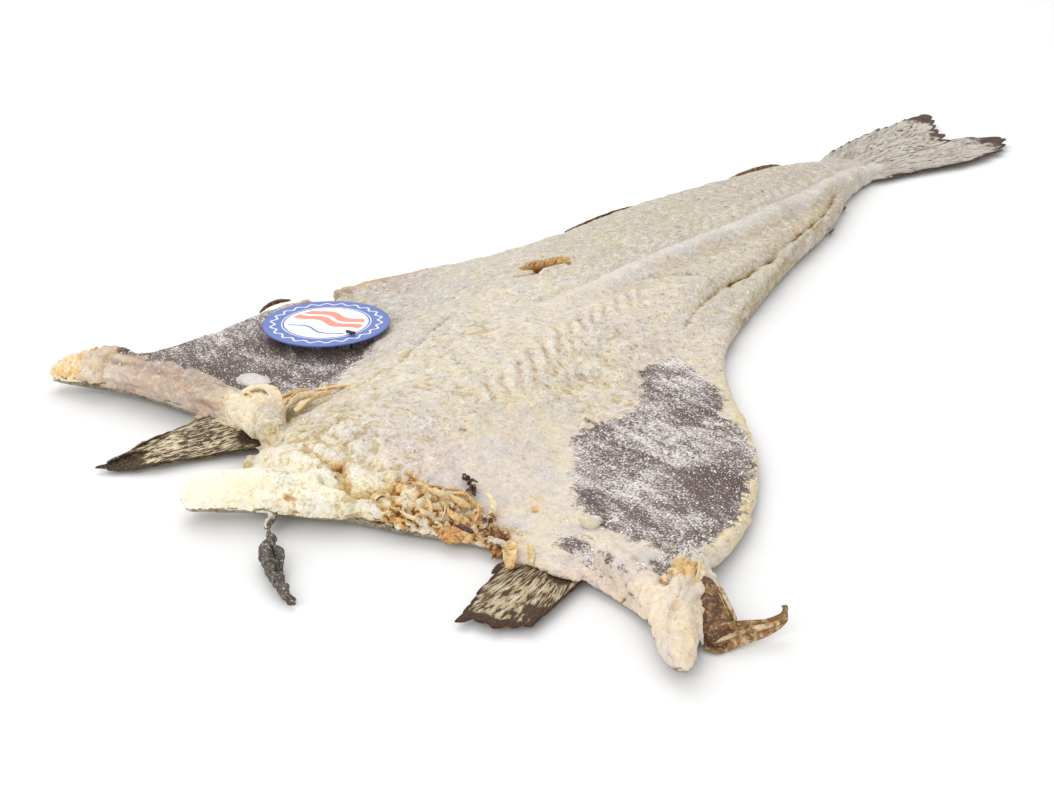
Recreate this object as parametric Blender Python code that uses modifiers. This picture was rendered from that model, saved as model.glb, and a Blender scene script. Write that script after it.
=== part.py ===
"""Salted dried cod, split from the belly and opened flat, lying flesh side up.

One solid holds the whole fish: the opened body with its two belly flaps, the rolled nape, the two
collar lugs, both pectoral fins, the pelvic fin, the tail fin and a torn strip of skin. A round card
label lies on the left flap, held by a small plastic pin.

Axes: +X to the fish's right side, +Y from nape to tail, +Z up, floor at z = 0.
Lengths in the tables are millimetres from the nape's front edge (y = 0) and the midline (x = 0).
"""
import math

import bmesh
import bpy
import numpy as np
from mathutils import Vector

MM = 0.001

# ---- Driving dimensions -------------------------------------------------------------------------

# Plan of the opened body: half outlines as (y, x), from the collar to the root of the tail fin.
LEFT_EDGE = [(60, -163), (74, -155), (90, -147), (120, -142), (145, -141), (165, -138), (184, -131),
             (202, -125), (220, -117), (240, -108), (265, -94), (300, -82), (345, -74), (400, -67),
             (440, -57), (480, -43), (520, -32), (550, -19), (585, -13)]
RIGHT_EDGE = [(60, 143), (75, 142), (90, 143), (110, 139), (130, 131), (155, 115), (175, 99),
              (200, 81), (230, 68), (275, 61), (320, 55), (360, 50), (400, 48), (445, 45), (490, 37),
              (515, 29), (545, 27), (585, 34)]
# The body's front edge, one (x, y) for each column: left collar, nape lobe, ragged cut, right collar.
FRONT_EDGE = [(-158, 60), (-132, 57), (-102, 57), (-72, 55), (-44, 42), (-35, 8), (-14, 5), (10, 12),
              (36, 14), (58, 22), (84, 21), (108, 20), (128, 10), (144, -2)]
COLUMNS = [0.0, 0.05, 0.13, 0.22, 0.31, 0.40, 0.48, 0.56, 0.64, 0.72, 0.80, 0.88, 0.95, 1.0]
ROWS = [60, 72, 86, 102, 120, 142, 164, 188, 212, 238, 268, 300, 334, 370, 408, 448, 488, 524, 556, 585]
FRONT_REACH = 110           # how far back the front edge still bends the rows

# Thickness along the body, as (y, thickness).
LOIN_THICK = [(60, 23), (90, 27), (150, 26), (220, 23), (300, 21), (380, 19), (460, 17), (530, 14),
              (560, 11), (585, 7)]
EDGE_THICK = [(60, 9), (150, 8), (200, 9), (250, 11), (330, 12), (450, 12), (530, 11), (585, 6)]
LEFT_FLAP = [(60, 0.26), (150, 0.24), (200, 0.18), (240, 0.06), (300, 0.02), (585, 0.02)]
RIGHT_FLAP = [(60, 0.30), (150, 0.27), (190, 0.18), (230, 0.06), (300, 0.02), (585, 0.02)]
FLAP_RAMP = 0.14            # share of the width over which a flap rises into the loin
LEFT_LIFT = [(60, 9), (90, 8.5), (130, 6.5), (220, 6), (280, 3), (400, 1.5), (585, 1)]
RIGHT_LIFT = [(60, 1), (585, 1)]
LIFT_WIDTH = 0.20           # share of the width over which a lifted edge comes down to the floor
FRONT_DROP = [0.68, 0.92]   # thickness of the first rows against the loin behind them

# Backbone ridge and the long crease beside the right edge: centre line as (y, x), then size.
RIDGE_LINE = [(200, -8), (330, 0), (400, 8), (480, 20), (585, 14)]
RIDGE_HEIGHT = [(200, 0), (260, 2.5), (420, 3.5), (530, 2.5), (585, 0)]
RIDGE_WIDTH = 8
CREASE_LINE = [(255, 40), (320, 41), (400, 34), (460, 29), (520, 20)]
CREASE_DEPTH = [(240, 0), (290, 3), (460, 3.5), (530, 0)]
CREASE_WIDTH = 6

# Rolled and folded forms: points (x, y, z, radius).
LEFT_LUG = [(-187, 55, 7, 4.4), (-180, 58, 8.5, 6.8), (-168, 61, 10, 9.2), (-150, 65, 12, 11.4),
            (-126, 66, 12, 11.2), (-100, 63, 11, 10), (-78, 59, 11, 9.5), (-60, 53, 10, 8.5)]
RIGHT_LUG_INNER = [(108, 30, 9, 7.5), (125, 22, 9, 7.8), (141, 10, 9, 7.8), (153, -3, 8.5, 7.4),
                   (162, -14, 7.5, 6)]
RIGHT_LUG_OUTER = [(130, 60, 8, 6.5), (137, 42, 8.5, 7), (146, 22, 9, 7.5), (154, 4, 8.5, 7.5),
                   (162, -11, 7.5, 6)]
NAPE_LOBE = [(-50, -5, 7.5, 5.2), (-44, -3, 8.5, 7), (-30, 1, 9, 8.2), (-8, 8, 10, 8.5), (16, 15, 10, 8)]
MEMBRANE_KNOT = [(-66, 57, 15, 7), (-56, 52, 18, 8.2), (-46, 44, 18, 7.5), (-37, 32, 17, 6.5)]
PELVIC_FIN = [(142, 42, 7, 5), (148, 24, 7, 6.2), (156, 8, 6.8, 6.2), (165, 6, 5, 4.6), (173, 13, 6.5, 3.2),
              (178, 22, 10, 2.2)]
SKIN_STRIP = [(-14, 12, 5, 2), (-13, 2, 4, 1.6), (-10, -6, 2.6, 1.3), (-6, -11, 2.6, 1.8), (2, -18, 4.4, 3.8),
              (10, -26, 4.6, 4), (17, -33, 4, 3), (26, -38, 3.2, 2.4)]

EDGE_NOTCH = (-126, 183, 9)   # x, y, radius of the bite out of the left flap's edge

# Fins: root from (x, y, z) to (x, y, z), then the tips as (x, y, z) points that the rays spread over.
LEFT_PECTORAL = {"root": [(-42, 54, 6), (-74, 72, 9)],
                 "tips": [(-62, 38, 3), (-78, 24, 2.5), (-90, 10, 2.2), (-103, -1, 2.2), (-97, 15, 4),
                          (-95, 34, 6), (-92, 54, 8)],
                 "rays": 12, "steps": 4}
RIGHT_PECTORAL = {"root": [(84, 34, 7), (106, 30, 6)],
                  "tips": [(77, 12, 4), (80, -8, 2.6), (82, -20, 2.2), (92, -18, 2.2), (102, -16, 2.2),
                           (105, -4, 2.6), (107, 14, 4)],
                  "rays": 12, "steps": 4}
TAIL_FIN = {"root": [(-8, 560, 7), (24, 552, 6)],
            "tips": [(-13, 600, 9), (-8, 655, 7), (-2, 700, 6), (6, 752, 5.5), (14, 748, 5), (26, 722, 4.6),
                     (44, 690, 4.4), (52, 710, 4.2), (66, 710, 4), (79, 718, 3.8), (82, 680, 3.2),
                     (70, 646, 3), (56, 612, 3), (42, 585, 3.2)],
            "rays": 24, "steps": 5}
FIN_THICK = 2.6             # thickness at a ray
WEB_THICK = 1.8             # thickness of the skin between rays
TIP_FRAY = 0.05             # how much shorter every other ray is

# Label and pin.
LABEL_DIAMETER = 59
LABEL_THICK = 0.8
LABEL_CENTRE = (-95, 145)
LABEL_BOTTOM = 17.2
LABEL_SEAT = 34             # radius of the flesh that lies flat under the card
PIN_PLACE = (-76, 138)
PIN_SHANK = 1.2
PIN_BAR = (1.5, 4.5)        # diameter and length of the cross bar on top of the card
PIN_DEPTH = 6
CLEARANCE = 0.3

FLESH = (0.80, 0.71, 0.56, 1.0)
CARD = (0.20, 0.28, 0.62, 1.0)
BLACK_PLASTIC = (0.02, 0.02, 0.02, 1.0)


# ---- Helpers --------------------------------------------------------------------------------------

def along(table, y):
    """Value of a (y, value) table at y."""
    return float(np.interp(y, [row[0] for row in table], [row[1] for row in table]))


def smooth(t):
    t = min(max(t, 0.0), 1.0)
    return t * t * (3.0 - 2.0 * t)


def bump(distance, width):
    return math.exp(-(distance / width) ** 2)


def clear_scene():
    for thing in list(bpy.data.objects):
        bpy.data.objects.remove(thing, do_unlink=True)


def collection(name):
    group = bpy.data.collections.new(name)
    bpy.context.scene.collection.children.link(group)
    return group


def material(name, colour, roughness, metallic=0.0):
    made = bpy.data.materials.new(name)
    made.use_nodes = True
    shader = made.node_tree.nodes["Principled BSDF"]
    shader.inputs["Base Color"].default_value = colour
    shader.inputs["Roughness"].default_value = roughness
    shader.inputs["Metallic"].default_value = metallic
    return made


def mesh_object(name, points, faces, group):
    """A mesh object from millimetre points."""
    mesh = bpy.data.meshes.new(name)
    mesh.from_pydata([Vector(p) * MM for p in points], [], faces)
    made = bpy.data.objects.new(name, mesh)
    group.objects.link(made)
    return made


def recalculate_normals(made):
    shape = bmesh.new()
    shape.from_mesh(made.data)
    bmesh.ops.recalc_face_normals(shape, faces=shape.faces)
    shape.to_mesh(made.data)
    shape.free()


def subdivide(made, levels):
    modifier = made.modifiers.new("Soft form", "SUBSURF")
    modifier.levels = levels
    modifier.render_levels = levels


def boolean(made, other, operation):
    modifier = made.modifiers.new(other.name, "BOOLEAN")
    modifier.object = other
    modifier.operation = operation
    modifier.solver = "EXACT"


def as_helper(made):
    made.hide_render = True
    made.display_type = "WIRE"


def closed_sheet(top, bottom):
    """Points and faces of a slab between two grids of the same size."""
    rows = len(top)
    columns = len(top[0])
    points = [p for row in top for p in row] + [p for row in bottom for p in row]
    under = rows * columns

    def at(i, j):
        return i * columns + j

    faces = []
    for i in range(rows - 1):
        for j in range(columns - 1):
            quad = (at(i, j), at(i, j + 1), at(i + 1, j + 1), at(i + 1, j))
            faces.append(quad)
            faces.append(tuple(under + k for k in reversed(quad)))
    rim = [at(0, j) for j in range(columns)]
    rim += [at(i, columns - 1) for i in range(1, rows)]
    rim += [at(rows - 1, j) for j in range(columns - 2, -1, -1)]
    rim += [at(i, 0) for i in range(rows - 2, 0, -1)]
    for a, b in zip(rim, rim[1:] + rim[:1]):
        faces.append((b, a, under + a, under + b))
    return points, faces


# ---- The opened body ------------------------------------------------------------------------------

def plan_point(row_y, u, column):
    """Plan position of a cage point, with the first rows bent to the front edge."""
    left = along(LEFT_EDGE, row_y)
    right = along(RIGHT_EDGE, row_y)
    x = left + (right - left) * u
    y = row_y
    bend = max(0.0, 1.0 - (row_y - ROWS[0]) / FRONT_REACH) ** 1.6
    first_left = along(LEFT_EDGE, ROWS[0])
    first_right = along(RIGHT_EDGE, ROWS[0])
    first_x = first_left + (first_right - first_left) * u
    front_x, front_y = FRONT_EDGE[column]
    return x + bend * (front_x - first_x), y + bend * (front_y - ROWS[0])


def loin_share(row_y, u):
    """0 on the thin belly flaps, 1 on the thick loin."""
    from_left = (u - along(LEFT_FLAP, row_y)) / FLAP_RAMP
    from_right = (1.0 - u - along(RIGHT_FLAP, row_y)) / FLAP_RAMP
    return smooth(from_left) * smooth(from_right)


def edge_lift(row_y, u):
    left = along(LEFT_LIFT, row_y) * smooth(1.0 - u / LIFT_WIDTH)
    right = along(RIGHT_LIFT, row_y) * smooth(1.0 - (1.0 - u) / LIFT_WIDTH)
    return left + right


def body_heights(i, row_y, u, x, y):
    """Underside and top of the body at one cage point."""
    lift = edge_lift(row_y, u)
    edge = along(EDGE_THICK, row_y)
    thick = edge + (along(LOIN_THICK, row_y) - edge) * loin_share(row_y, u)
    if i < len(FRONT_DROP):
        thick *= FRONT_DROP[i]
    thick += along(RIDGE_HEIGHT, y) * bump(x - along(RIDGE_LINE, y), RIDGE_WIDTH)
    thick -= along(CREASE_DEPTH, y) * bump(x - along(CREASE_LINE, y), CREASE_WIDTH)
    high = lift + thick
    if math.dist((x, y), LABEL_CENTRE) < LABEL_SEAT:
        high = min(high, LABEL_BOTTOM - 2 * CLEARANCE)
    return lift, high


def make_body(group):
    top = []
    bottom = []
    for i, row_y in enumerate(ROWS):
        top_row = []
        bottom_row = []
        for j, u in enumerate(COLUMNS):
            x, y = plan_point(row_y, u, j)
            low, high = body_heights(i, row_y, u, x, y)
            top_row.append((x, y, high))
            bottom_row.append((x, y, low))
        top.append(top_row)
        bottom.append(bottom_row)
    points, faces = closed_sheet(top, bottom)
    made = mesh_object("cod", points, faces, group)
    recalculate_normals(made)
    subdivide(made, 1)
    return made


# ---- Rolled forms, fins -----------------------------------------------------------------------------

def roll(name, stations, group, resolution=1):
    """A closed soft roll along stations (x, y, z, radius)."""
    curve = bpy.data.curves.new(name, "CURVE")
    curve.dimensions = "3D"
    curve.bevel_depth = MM
    curve.bevel_resolution = resolution
    curve.use_fill_caps = True
    line = curve.splines.new("POLY")
    line.points.add(len(stations) - 1)
    for point, (x, y, z, radius) in zip(line.points, stations):
        point.co = (x * MM, y * MM, z * MM, 1.0)
        point.radius = radius
    guide = bpy.data.objects.new(name + "_line", curve)
    group.objects.link(guide)
    bpy.context.view_layer.update()
    depsgraph = bpy.context.evaluated_depsgraph_get()
    mesh = bpy.data.meshes.new_from_object(guide.evaluated_get(depsgraph))
    bpy.data.objects.remove(guide, do_unlink=True)
    made = bpy.data.objects.new(name, mesh)
    group.objects.link(made)
    shape = bmesh.new()
    shape.from_mesh(mesh)
    bmesh.ops.remove_doubles(shape, verts=shape.verts, dist=0.01 * MM)
    bmesh.ops.recalc_face_normals(shape, faces=shape.faces)
    shape.to_mesh(mesh)
    shape.free()
    subdivide(made, 1)
    as_helper(made)
    return made


def point_along(points, share):
    """Position at a share of a polyline, counted in its segments."""
    place = share * (len(points) - 1)
    i = min(int(place), len(points) - 2)
    a = Vector(points[i])
    b = Vector(points[i + 1])
    return a.lerp(b, place - i)


def fin(name, shape, group):
    """A thin fan of rays from a root line to its tips."""
    rays = shape["rays"]
    steps = shape["steps"]
    top = []
    bottom = []
    for r in range(2 * rays + 1):
        share = r / (2 * rays)
        root = point_along(shape["root"], share)
        tip = point_along(shape["tips"], share)
        on_ray = r % 2 == 1
        reach = 1.0 if on_ray else 1.0 - TIP_FRAY
        thick = FIN_THICK if on_ray else WEB_THICK
        top_row = []
        bottom_row = []
        for s in range(steps + 1):
            place = root.lerp(tip, reach * s / steps)
            half = 0.5 * thick
            top_row.append((place.x, place.y, place.z + half))
            bottom_row.append((place.x, place.y, place.z - half))
        top.append(top_row)
        bottom.append(bottom_row)
    points, faces = closed_sheet(top, bottom)
    made = mesh_object(name, points, faces, group)
    recalculate_normals(made)
    as_helper(made)
    return made


# ---- Label and pin ----------------------------------------------------------------------------------

def cylinder(name, radius, depth, place, sides, group, turn=(0.0, 0.0, 0.0)):
    """A cylinder of millimetre size, centred at a millimetre place."""
    shape = bmesh.new()
    bmesh.ops.create_cone(shape, cap_ends=True, segments=sides, radius1=radius * MM, radius2=radius * MM,
                          depth=depth * MM)
    mesh = bpy.data.meshes.new(name)
    shape.to_mesh(mesh)
    shape.free()
    made = bpy.data.objects.new(name, mesh)
    made.location = Vector(place) * MM
    made.rotation_euler = turn
    group.objects.link(made)
    return made


def make_label(group, helpers):
    x, y = LABEL_CENTRE
    middle = LABEL_BOTTOM + LABEL_THICK / 2
    card = cylinder("label", LABEL_DIAMETER / 2, LABEL_THICK, (x, y, middle), 48, group)
    hole = cylinder("label_hole", PIN_SHANK / 2 + CLEARANCE, 4 * LABEL_THICK,
                    (PIN_PLACE[0], PIN_PLACE[1], middle), 12, helpers)
    as_helper(hole)
    boolean(card, hole, "DIFFERENCE")
    return card


def make_pin(group, helpers):
    x, y = PIN_PLACE
    bar_diameter, bar_length = PIN_BAR
    top = LABEL_BOTTOM + LABEL_THICK + CLEARANCE
    bar = cylinder("label_pin", bar_diameter / 2, bar_length, (x, y, top + bar_diameter / 2), 12, group,
                   (0.0, math.pi / 2, 0.0))
    shank_length = top + bar_diameter / 2 - (LABEL_BOTTOM - PIN_DEPTH)
    shank = cylinder("pin_shank", PIN_SHANK / 2, shank_length,
                     (x, y, LABEL_BOTTOM - PIN_DEPTH + shank_length / 2), 12, helpers)
    as_helper(shank)
    boolean(bar, shank, "UNION")
    return bar


def pin_pocket(helpers):
    x, y = PIN_PLACE
    depth = 3 * PIN_DEPTH
    hole = cylinder("pin_pocket", PIN_SHANK / 2 + CLEARANCE, depth,
                    (x, y, LABEL_BOTTOM - PIN_DEPTH - CLEARANCE + depth / 2), 12, helpers)
    as_helper(hole)
    return hole


# ---- Assembly ---------------------------------------------------------------------------------------

def edge_notch(helpers):
    x, y, radius = EDGE_NOTCH
    bite = cylinder("edge_notch", radius, 60, (x, y, 10), 10, helpers)
    as_helper(bite)
    return bite


def evaluated_box(things):
    """Lowest and highest corners of the finished shapes, in metres."""
    bpy.context.view_layer.update()
    depsgraph = bpy.context.evaluated_depsgraph_get()
    corners = []
    for thing in things:
        shown = thing.evaluated_get(depsgraph)
        corners += [tuple(thing.matrix_world @ v.co) for v in shown.to_mesh().vertices]
        shown.to_mesh_clear()
    return np.min(corners, axis=0), np.max(corners, axis=0)


def centre_on_floor(group, helpers):
    """Parent everything to an empty, and move it so that the origin is the middle of the box's floor."""
    low, high = evaluated_box(list(group.objects))
    origin = bpy.data.objects.new("origin", None)
    bpy.context.scene.collection.objects.link(origin)
    for thing in list(group.objects) + list(helpers.objects):
        thing.parent = origin
    middle = 0.5 * (low + high)
    origin.location = (-middle[0], -middle[1], -low[2])


def main():
    clear_scene()
    group = collection("salted_dried_cod")
    helpers = collection("cutters")
    cod = make_body(group)
    forms = [roll("left_lug", LEFT_LUG, helpers, 2),
             roll("right_lug_inner", RIGHT_LUG_INNER, helpers),
             roll("right_lug_outer", RIGHT_LUG_OUTER, helpers),
             roll("nape_lobe", NAPE_LOBE, helpers),
             roll("membrane_knot", MEMBRANE_KNOT, helpers),
             roll("pelvic_fin", PELVIC_FIN, helpers),
             roll("skin_strip", SKIN_STRIP, helpers),
             fin("left_pectoral", LEFT_PECTORAL, helpers),
             fin("right_pectoral", RIGHT_PECTORAL, helpers),
             fin("tail_fin", TAIL_FIN, helpers)]
    for form in forms:
        boolean(cod, form, "UNION")
    boolean(cod, edge_notch(helpers), "DIFFERENCE")
    boolean(cod, pin_pocket(helpers), "DIFFERENCE")
    label = make_label(group, helpers)
    pin = make_pin(group, helpers)
    cod.data.materials.append(material("flesh", FLESH, 0.75))
    label.data.materials.append(material("card", CARD, 0.4))
    pin.data.materials.append(material("pin_plastic", BLACK_PLASTIC, 0.35))
    centre_on_floor(group, helpers)


main()
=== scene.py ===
"""Looks of one split salted dried cod: crusted flesh, belly lining, fins, torn tissue, salt and a card label.

Lengths are millimetres in the plan of the fish: x to its right, y from the nape to the tail, z up.
place() turns them into the frame's metres.
"""

import itertools
import math

import bmesh
import bpy
import numpy as np
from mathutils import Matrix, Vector
from mathutils.bvhtree import BVHTree


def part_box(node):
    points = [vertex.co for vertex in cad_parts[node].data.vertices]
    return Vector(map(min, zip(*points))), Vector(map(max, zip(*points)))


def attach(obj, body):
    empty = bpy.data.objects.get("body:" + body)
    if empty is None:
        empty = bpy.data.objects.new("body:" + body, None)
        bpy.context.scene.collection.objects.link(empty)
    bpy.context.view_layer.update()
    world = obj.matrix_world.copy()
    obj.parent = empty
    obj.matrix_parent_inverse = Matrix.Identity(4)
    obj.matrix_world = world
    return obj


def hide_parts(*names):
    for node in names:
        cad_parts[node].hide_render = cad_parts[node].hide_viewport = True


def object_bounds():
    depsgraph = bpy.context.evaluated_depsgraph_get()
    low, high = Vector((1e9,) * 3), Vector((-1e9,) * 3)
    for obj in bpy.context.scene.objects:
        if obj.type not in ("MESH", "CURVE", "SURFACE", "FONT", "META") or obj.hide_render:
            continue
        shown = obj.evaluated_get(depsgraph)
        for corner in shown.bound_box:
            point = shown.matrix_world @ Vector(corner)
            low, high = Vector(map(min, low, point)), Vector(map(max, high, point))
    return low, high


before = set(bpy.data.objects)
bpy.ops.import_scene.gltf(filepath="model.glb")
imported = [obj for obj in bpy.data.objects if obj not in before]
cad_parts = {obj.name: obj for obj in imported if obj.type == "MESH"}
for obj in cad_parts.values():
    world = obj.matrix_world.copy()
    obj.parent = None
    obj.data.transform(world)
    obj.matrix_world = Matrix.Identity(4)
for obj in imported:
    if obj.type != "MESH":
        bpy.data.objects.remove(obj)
CAD_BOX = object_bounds()

MM = 0.001
LABEL_CENTRE = (-95.0, 145.0)
LABEL_LOW, LABEL_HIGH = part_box("label")
SHIFT = np.array(
    [
        500.0 * (LABEL_LOW.x + LABEL_HIGH.x) - LABEL_CENTRE[0],
        500.0 * (LABEL_LOW.y + LABEL_HIGH.y) - LABEL_CENTRE[1],
        0.0,
    ]
)
BOX_LOW = np.array(CAD_BOX[0]) / MM - SHIFT
BOX_HIGH = np.array(CAD_BOX[1]) / MM - SHIFT
VOXEL = 1.05

# Camera, in the plan of the fish.
CAMERA_PLACE = (311.4, -372.8, 265.0)
CAMERA_PITCH = 23.5
CAMERA_TURN = 30.0
CAMERA_LENS = 51.23

OUTLINE = (
    (-158, 60), (-147, 90), (-142, 120), (-141, 145), (-138, 165), (-131, 184), (-125, 202),
    (-117, 220), (-108, 240), (-94, 265), (-82, 300), (-74, 345), (-67, 400), (-57, 440),
    (-43, 480), (-32, 520), (-19, 550), (-13, 585), (34, 585), (27, 545), (29, 515), (37, 490),
    (45, 445), (48, 400), (50, 360), (55, 320), (61, 275), (68, 230), (81, 200), (99, 175),
    (115, 155), (131, 130), (139, 110), (143, 90), (142, 75), (143, 60), (162, -14), (144, -2),
    (128, 10), (108, 20), (84, 21), (58, 22), (36, 14), (10, 8), (-48, -8), (-44, 42), (-72, 55),
    (-102, 55), (-132, 55), (-188, 54), (-188, 60),
)

# Dark belly lining left on the two flaps.
RIGHT_LINING = (
    (48, 180), (51, 190), (55, 203), (62, 203), (76, 190), (88, 182), (93, 173), (99, 157),
    (109, 150), (119, 140), (128, 122), (132, 106), (137, 94), (140, 76), (138, 59), (141, 42),
    (134, 34), (134, 24), (129, 18), (125, 36), (124, 47), (119, 44), (109, 45), (98, 48), (88, 56),
    (78, 66), (69, 80), (64, 93), (57, 104), (55, 123), (61, 132), (64, 146), (57, 165),
)
RIGHT_SCRAP = ((89, 31), (92, 37), (99, 39), (109, 26), (118, 21), (124, 17), (116, 18), (103, 26))
LEFT_LINING = (
    (-154, 68), (-146, 92), (-140, 118), (-139, 138), (-133, 160), (-121, 178), (-98, 178),
    (-80, 162), (-70, 150), (-57, 108), (-52, 92), (-62, 84), (-84, 78), (-100, 74), (-106, 66),
    (-130, 64), (-146, 64),
)

SPINE_VALLEY = ((170, -20), (206, -17), (250, -9), (315, -3), (379, 8), (462, 16), (536, 17))
CREASE = ((283, 43), (311, 45), (347, 45), (362, 43), (399, 42), (438, 40), (475, 34), (505, 31))


CREASE_BRANCHES = (
    ((20, 280), (30, 288), (43, 284)),
    ((43, 284), (44, 262), (45, 250), (48, 232)),
    ((64, 258), (63, 268), (62, 280)),
)
SECOND_CREASE = ((258, 62), (304, 56), (386, 47), (448, 42))


# ---------------------------------------------------------------- numbers


def smooth(low, high, value):
    """0 below low, 1 above high and a soft step between."""
    t = np.clip((value - low) / (high - low), 0.0, 1.0)
    return t * t * (3.0 - 2.0 * t)


def bump(distance, width):
    """A soft bell, 1 at zero distance."""
    return np.exp(-((distance / width) ** 2))


def scrambled(cell, seed):
    """Whole numbers that look random but repeat for the same cell."""
    parts = cell.astype(np.int64).astype(np.uint64)
    h = parts[..., 0] * np.uint64(73856093)
    h = h ^ (parts[..., 1] * np.uint64(19349663))
    h = h ^ (parts[..., 2] * np.uint64(83492791))
    h = (h ^ np.uint64(seed * 7919 + 17)) & np.uint64(0xFFFFFFFF)
    h = ((h ^ (h >> np.uint64(15))) * np.uint64(2246822519)) & np.uint64(0xFFFFFFFF)
    h = ((h ^ (h >> np.uint64(13))) * np.uint64(3266489917)) & np.uint64(0xFFFFFFFF)
    return (h ^ (h >> np.uint64(16))) & np.uint64(0xFFFFFFFF)


def directions(count=32):
    """Evenly spread unit vectors."""
    i = np.arange(count) + 0.5
    z = 1.0 - 2.0 * i / count
    turn = np.pi * (1.0 + 5.0**0.5) * i
    r = np.sqrt(1.0 - z * z)
    return np.stack([r * np.cos(turn), r * np.sin(turn), z], axis=1)


GRADIENTS = directions()


def noise(points, size, seed):
    """Smooth noise from -1 to 1 whose features are about size across."""
    p = points / size
    base = np.floor(p)
    f = p - base
    u = f * f * f * (f * (f * 6.0 - 15.0) + 10.0)
    total = np.zeros(len(points))
    for corner in itertools.product((0, 1), repeat=3):
        offset = np.array(corner)
        gradient = GRADIENTS[(scrambled(base + offset, seed) % np.uint64(32)).astype(int)]
        weight = np.where(offset, u, 1.0 - u).prod(axis=1)
        total += weight * ((f - offset) * gradient).sum(axis=1)
    return 1.7 * total


def fractal(points, size, seed, octaves=4, gain=0.55):
    """Noise with finer and weaker layers on top of each other."""
    total = np.zeros(len(points))
    weight, weights = 1.0, 0.0
    for octave in range(octaves):
        total += weight * noise(points, size / 2.0**octave, seed + 31 * octave)
        weights += weight
        weight *= gain
    return total / weights


def puffs(points, size, seed, octaves=3, gain=0.5):
    """Round lumps with sharp folds between them, from 0 in the folds to 1."""
    total = np.zeros(len(points))
    weight, weights = 1.0, 0.0
    for octave in range(octaves):
        layer = noise(points, size / 2.0**octave, seed + 37 * octave)
        total += weight * np.minimum(1.0, 1.8 * np.abs(layer))
        weights += weight
        weight *= gain
    return total / weights


def spread(cell, seed, channel):
    return scrambled(cell, seed + 101 * channel).astype(float) / 4294967296.0


def pebbles(points, size, seed):
    """Distance to the nearest and the second nearest of scattered seeds, as shares of size."""
    p = points[:, :2] / size
    base = np.floor(p)
    first = np.full(len(points), 9.0)
    second = np.full(len(points), 9.0)
    for dx, dy in itertools.product((-1, 0, 1), repeat=2):
        cell = np.concatenate([base + (dx, dy), np.zeros((len(points), 1))], axis=1)
        centre = cell[:, :2] + np.stack([spread(cell, seed, 0), spread(cell, seed, 1)], axis=1)
        d = np.hypot(*(p - centre).T)
        second = np.minimum(second, np.maximum(first, d))
        first = np.minimum(first, d)
    return first, second


def polygon_depth(xy, corners):
    """Distance inside a closed outline, negative outside it."""
    x, y = xy[:, 0], xy[:, 1]
    inside = np.zeros(len(xy), bool)
    nearest = np.full(len(xy), 1e9)
    for a, b in zip(corners, corners[1:] + corners[:1]):
        ax, ay = a
        bx, by = b
        dx, dy = bx - ax, by - ay
        t = np.clip(((x - ax) * dx + (y - ay) * dy) / (dx * dx + dy * dy), 0.0, 1.0)
        nearest = np.minimum(nearest, np.hypot(x - ax - t * dx, y - ay - t * dy))
        if ay != by:
            crosses = (ay > y) != (by > y)
            inside ^= crosses & (x < ax + (y - ay) * dx / dy)
    return np.where(inside, nearest, -nearest)


def path_distance(xy, corners):
    """Distance to an open line of (x, y) points, and how far along it the nearest place is."""
    x, y = xy[:, 0], xy[:, 1]
    nearest = np.full(len(xy), 1e9)
    along = np.zeros(len(xy))
    start = 0.0
    for (ax, ay), (bx, by) in zip(corners[:-1], corners[1:]):
        dx, dy = bx - ax, by - ay
        length = math.hypot(dx, dy)
        t = np.clip(((x - ax) * dx + (y - ay) * dy) / length**2, 0.0, 1.0)
        d = np.hypot(x - ax - t * dx, y - ay - t * dy)
        along = np.where(d < nearest, start + t * length, along)
        nearest = np.minimum(nearest, d)
        start += length
    return nearest, along


def line_x(y, line):
    """x of a lengthwise line given as (y, x) points."""
    ys, xs = zip(*line)
    return np.interp(y, ys, xs)


def linear(rgb):
    """A colour on the 0 to 255 screen scale as linear light."""
    c = np.asarray(rgb, float) / 255.0
    return np.where(c <= 0.04045, c / 12.92, ((c + 0.055) / 1.055) ** 2.4)


# ---------------------------------------------------------------- meshes


def place(points):
    return (np.asarray(points, float) + SHIFT) * MM


def plan(points):
    return np.asarray(points, float) / MM - SHIFT


def keep_in_box(points):
    return np.clip(points, BOX_LOW + 0.05, BOX_HIGH - 0.05)


def link(mesh, name):
    piece = bpy.data.objects.new(name, mesh)
    bpy.context.scene.collection.objects.link(piece)
    return piece


def make_mesh(name, points, faces):
    """A smooth mesh object from plan points and faces."""
    mesh = bpy.data.meshes.new(name)
    mesh.from_pydata(place(points).tolist(), [], [list(map(int, f)) for f in faces])
    mesh.validate()
    mesh.shade_smooth()
    return link(mesh, name)


def mesh_points(mesh):
    co = np.zeros(len(mesh.vertices) * 3)
    mesh.vertices.foreach_get("co", co)
    return plan(co.reshape(-1, 3))


def set_points(mesh, points):
    mesh.vertices.foreach_set("co", place(points).ravel())
    mesh.update()


def mesh_normals(mesh):
    n = np.zeros(len(mesh.vertices) * 3)
    mesh.vertex_normals.foreach_get("vector", n)
    return n.reshape(-1, 3)


def set_number(mesh, name, values):
    layer = mesh.attributes.new(name, "FLOAT", "POINT")
    layer.data.foreach_set("value", np.asarray(values, np.float32))


def set_vector(mesh, name, values):
    layer = mesh.attributes.new(name, "FLOAT_VECTOR", "POINT")
    layer.data.foreach_set("vector", np.asarray(values, np.float32).ravel())


def set_colour(mesh, name, values):
    layer = mesh.attributes.new(name, "FLOAT_COLOR", "POINT")
    rgba = np.concatenate([values, np.ones((len(values), 1))], axis=1)
    layer.data.foreach_set("color", rgba.astype(np.float32).ravel())


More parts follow.
